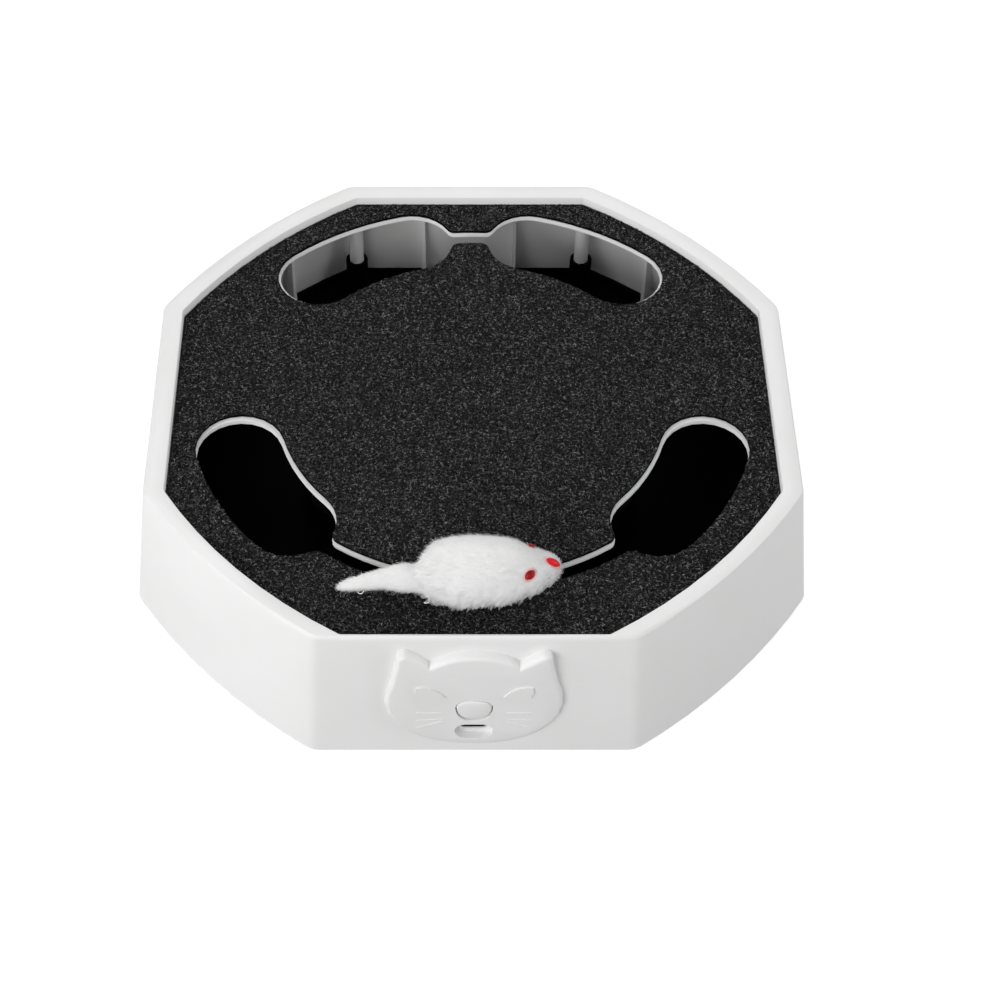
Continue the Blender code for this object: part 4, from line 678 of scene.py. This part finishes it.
# Millimetres on the body, and what the head, the tail and the belly add to them
HAIR_LENGTH = (2.5, -1.4, -0.7, 0.5)
HAIR_RISE = (0.65, -0.3, -0.15, 0.35)
LENGTH_SPREAD = (0.65, 1.25)
RISE_SPREAD = (0.6, 1.4)
HAIR_WIDTH = (0.10, 0.17)
HAIR_TAPER = np.array((1.0, 0.85, 0.6, 0.15))
# Where along X in millimetres head and tail begin, and over how far they come in
HEAD_START, HEAD_RUN = 14.0, 8.0
TAIL_START, TAIL_RUN = -14.0, 6.0
RUMP_START, RUMP_RUN = -5.0, 5.0
RUMP_CALM = 0.85
# How fast hairs count as lying under, near or far, from the direction that they grow in
UNDER_GAIN, UNDER_START = 1.3, 0.1
NEAR_GAIN = 1.2
FAR_START, FAR_LEAST = 0.5, 0.3
TAIL_TIDY = 0.9
BACKWARDS = np.array((-1.0, 0.0, 0.0))
COMB_SPREAD = 0.28
# Tufts: hairs in each, how strongly they draw on the body, and what the belly adds
TUFT_HAIRS = 34
TUFT_PULL = (0.25, 0.72)
TUFT_TIP = 1.5
BLOCK_ROWS = 4000
# Light that spreads inside the fur bends the hairs' shading, up on the far side and down below
FUR_SCATTER = np.array((-0.03, -0.2, 0.7))
FUR_SHADE = np.array((0.0, 0.0, -0.3))
TUFT_SHADING = 0.16
HAIR_SHADING = 0.08
SIDE_SPREAD = 0.25 * MM
# Share of the pale tone that single hairs lose at random; painted shade: the share that the head and
# the near side lose
HAIR_DARK, HEAD_PAINTED_SHADE, NEAR_PAINTED_SHADE = 0.9, 0.9, 0.5
# In bead sizes: the bare spot, where the stain ends and how far it fades; and its strength
BARE_REACH, STAIN_REACH, STAIN_FADE = 0.9, 1.55, 0.5
STAIN_STRENGTH = 0.6
# Points further off than this lie on another side of the mouse, so they don't count as near
BEAD_NEAR = 4 * MM
FAR_AWAY = 99.0


def make_fur(skin, spots):
    corners, normals = mesh_triangles(skin.data)
    for layer in range(HAIR_LAYERS):
        fur_layer("mouse_fur_%d" % (layer + 1), FUR_SEED + layer, corners, normals, spots)


def by_place(values, head, tail, belly):
    """A value for each hair from the body's own and what the three regions add."""
    return values[0] + values[1] * head + values[2] * tail + values[3] * belly


def fur_layer(name, seed, corners, normals, spots):
    """Hairs combed towards the tail, drooping and gathered into tufts along the belly."""
    rng = np.random.default_rng(seed)
    roots, out = scatter(rng, corners, normals, HAIRS)
    keep = np.ones(HAIRS, dtype=bool)
    for spot in spots:
        keep &= bead_distance(roots, spot) > BARE_REACH
    roots, out = roots[keep], out[keep]
    count = len(roots)
    flow = BACKWARDS - out * (out @ BACKWARDS)[:, None]
    flow = unit(flow + rng.normal(0.0, COMB_SPREAD, (count, 3)))
    x = roots[:, 0] / MM
    head = np.clip((x - HEAD_START) / HEAD_RUN, 0.0, 1.0)
    tail = np.clip((TAIL_START - x) / TAIL_RUN, 0.0, 1.0)
    under = np.clip(-out[:, 2] * UNDER_GAIN + UNDER_START, 0.0, 1.0)
    belly = under * (1 - TAIL_TIDY * tail)
    length = by_place(HAIR_LENGTH, head, tail, belly) * rng.uniform(*LENGTH_SPREAD, count) * MM
    rise = by_place(HAIR_RISE, head, tail, belly) * rng.uniform(*RISE_SPREAD, count) * MM
    flow = unit(flow - UP * belly[:, None])
    share = np.linspace(0.0, 1.0, HAIR_STEPS)
    lift = 1 - (1 - share) ** 2
    paths = roots[:, None, :] + flow[:, None, :] * (length[:, None] * share)[:, :, None]
    paths = paths + out[:, None, :] * (rise[:, None] * lift)[:, :, None]
    paths, tuft = gather(rng, roots, paths, TUFT_PULL[0] + TUFT_PULL[1] * belly, share)
    lean = shading(rng, out, x, under, tuft)
    sides = np.cross(paths[:, -1] - paths[:, 0], out)
    sides = unit(sides + rng.normal(0.0, SIDE_SPREAD, (count, 3)))
    widths = rng.uniform(*HAIR_WIDTH, count)[:, None] * HAIR_TAPER * MM
    near = np.clip(-out[:, 1] * NEAR_GAIN, 0.0, 1.0)
    # Painted shade: hairs on the head and on the near side, facing -Y, are painted darker.
    tone = (1 - rng.random(count) ** 3 * HAIR_DARK) * (1 - HEAD_PAINTED_SHADE * head) * (1 - NEAR_PAINTED_SHADE * near)
    paint = np.zeros((count, HAIR_STEPS, 2))
    paint[:, :, 0] = tone[:, None]
    for spot in spots:
        stain = (STAIN_REACH - bead_distance(paths, spot)) / STAIN_FADE
        paint[:, :, 1] = np.maximum(paint[:, :, 1], np.clip(stain, 0.0, STAIN_STRENGTH))
    piece = strand_mesh(name, paths, sides, widths, paint, FUR, lean)
    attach(piece, "lever")


def shading(rng, out, x, under, tuft):
    """The normals that shade the hairs: the skin's, calmed on the rump, bent and scattered."""
    calm = out.copy()
    calm[:, 0] *= 1 - RUMP_CALM * np.clip((RUMP_START - x) / RUMP_RUN, 0.0, 1.0)
    far = np.clip(out[:, 1] + FAR_START, FAR_LEAST, 1.0) * (1 - under)
    calm += FUR_SCATTER * far[:, None] + FUR_SHADE * under[:, None]
    by_tuft = rng.normal(0.0, TUFT_SHADING, out.shape)[tuft]
    return unit(calm + by_tuft + rng.normal(0.0, HAIR_SHADING, out.shape))


def bead_distance(points, spot):
    """Distance of points from a bead's centre over the bead's half size in that direction."""
    centre, axis, cross = spot
    offset = points - centre
    away = np.hypot(offset @ axis, offset @ cross)
    return away + FAR_AWAY * ((offset ** 2).sum(axis=-1) > BEAD_NEAR ** 2)


def gather(rng, roots, paths, weight, share):
    """Draws each hair towards the nearest tuft's own hair, most at the tip; gives that hair too."""
    leaders = rng.choice(len(roots), size=len(roots) // TUFT_HAIRS, replace=False)
    nearest = np.empty(len(roots), dtype=int)
    for start in range(0, len(roots), BLOCK_ROWS):
        block = roots[start:start + BLOCK_ROWS]
        gap = ((block[:, None, :] - roots[leaders][None, :, :]) ** 2).sum(axis=2)
        nearest[start:start + BLOCK_ROWS] = leaders[gap.argmin(axis=1)]
    pull = (weight[:, None] * share[None, :] ** TUFT_TIP)[:, :, None]
    return paths * (1 - pull) + paths[nearest] * pull, nearest


# Loose curled hairs: centre and radius in millimetres, first angle and sweep in degrees
CURLS = (((-38.9, -97.0, 58.8), 1.0, 190.0, 170.0), ((-16.6, -102.0, 60.3), 1.2, 100.0, -230.0))
CURL_POINTS = 15
CURL_SIDES = 5
CURL_LEAN = np.array((1.0, 0.6, 0.8))
CURL_HAIR = 0.17 * MM
CURL_PAINT = (1.0, 0.0, 0.0, 1.0)
CURL_TIP = 0.4


def make_curls():
    bm = bmesh.new()
    for centre, radius, first, sweep in CURLS:
        points = []
        for i in range(CURL_POINTS):
            angle = math.radians(first + sweep * i / (CURL_POINTS - 1))
            across, up = radius * math.cos(angle), radius * math.sin(angle)
            points.append(Vector(np.array(centre) + CURL_LEAN * (across, up, up)) * MM)
        tube(bm, points, CURL_HAIR)
    piece = new_piece("mouse_loose_hairs", bm, FUR)
    paint_whole(piece, CURL_PAINT)
    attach(piece, "lever")


def tube(bm, points, radius):
    """A round hair along points, thinner at both ends."""
    rings = []
    for i, point in enumerate(points):
        along = (points[min(i + 1, len(points) - 1)] - points[max(i - 1, 0)]).normalized()
        across = along.orthogonal().normalized()
        above = along.cross(across)
        thick = radius * (CURL_TIP if i in (0, len(points) - 1) else 1.0)
        rings.append([bm.verts.new(point + (across * math.cos(a) + above * math.sin(a)) * thick)
                      for a in (2 * math.pi * k / CURL_SIDES for k in range(CURL_SIDES))])
    for one, two in zip(rings, rings[1:]):
        for k in range(CURL_SIDES):
            j = (k + 1) % CURL_SIDES
            bm.faces.new((one[k], one[j], two[j], two[k]))
    for face in bm.faces:
        face.smooth = True


def make_mouse():
    skin = mouse_skin()
    make_fur(skin, make_beads())
    make_curls()


# ---------------------------------------------------------- light, floor

WORLD = 0.20
FLOOR_GLOW = 0.8
FLOOR_HALF = 3.0
LIGHT_AIM = (0.0, 0.0, 0.03)
WHITE_LIGHT = (1.0, 1.0, 1.0, 1.0)
# Place in metres, width and height in metres, power in watts
LIGHTS = {
    "key_left": ((-1.2, -0.5, 0.8), (0.9, 0.9), 5.3),
    "left_high": ((-0.9, 0.4, 1.3), (1.0, 1.0), 4.8),
    "front_left": ((-1.0, -1.2, 0.6), (0.9, 0.9), 12.4),
    "front": ((-0.2, -1.3, 0.9), (1.0, 0.8), 3.6),
    "back": ((0.2, 1.4, 0.9), (1.2, 0.8), 8.6),
    "right": ((1.3, -0.2, 0.7), (0.9, 0.9), 9.4),
}


def area_light(name, place, size, power):
    data = bpy.data.lights.new(name, "AREA")
    data.shape = "RECTANGLE"
    data.size, data.size_y = size
    data.energy = power
    light = bpy.data.objects.new(name, data)
    light.location = place
    light.rotation_euler = (Vector(LIGHT_AIM) - Vector(place)).to_track_quat("-Z", "Y").to_euler()
    SCENE.collection.objects.link(light)


def make_studio():
    SCENE.view_settings.view_transform = "Standard"
    world = bpy.data.worlds.new("studio")
    world.use_nodes = True
    sky = world.node_tree.nodes["Background"]
    sky.inputs["Color"].default_value = WHITE_LIGHT
    sky.inputs["Strength"].default_value = WORLD
    SCENE.world = world
    bm = bmesh.new()
    bmesh.ops.create_grid(bm, x_segments=8, y_segments=8, size=FLOOR_HALF)
    floor = new_piece("floor", bm, floor_material())
    floor.visible_diffuse = False
    for name, (place, size, power) in LIGHTS.items():
        area_light(name, place, size, power)


def floor_material():
    material, tree, shader = new_material("floor_white", Roughness=0.9, Emission_Color=WHITE_LIGHT,
                                          Emission_Strength=FLOOR_GLOW)
    tone = ramp(tree, noise_at(tree, 3.0), ((0.3, grey(0.30)), (0.7, grey(0.32))))
    tree.links.new(tone, shader.inputs["Base Color"])
    return material


make_camera()
dress_nodes()
make_felt()
make_mouse()
make_studio()
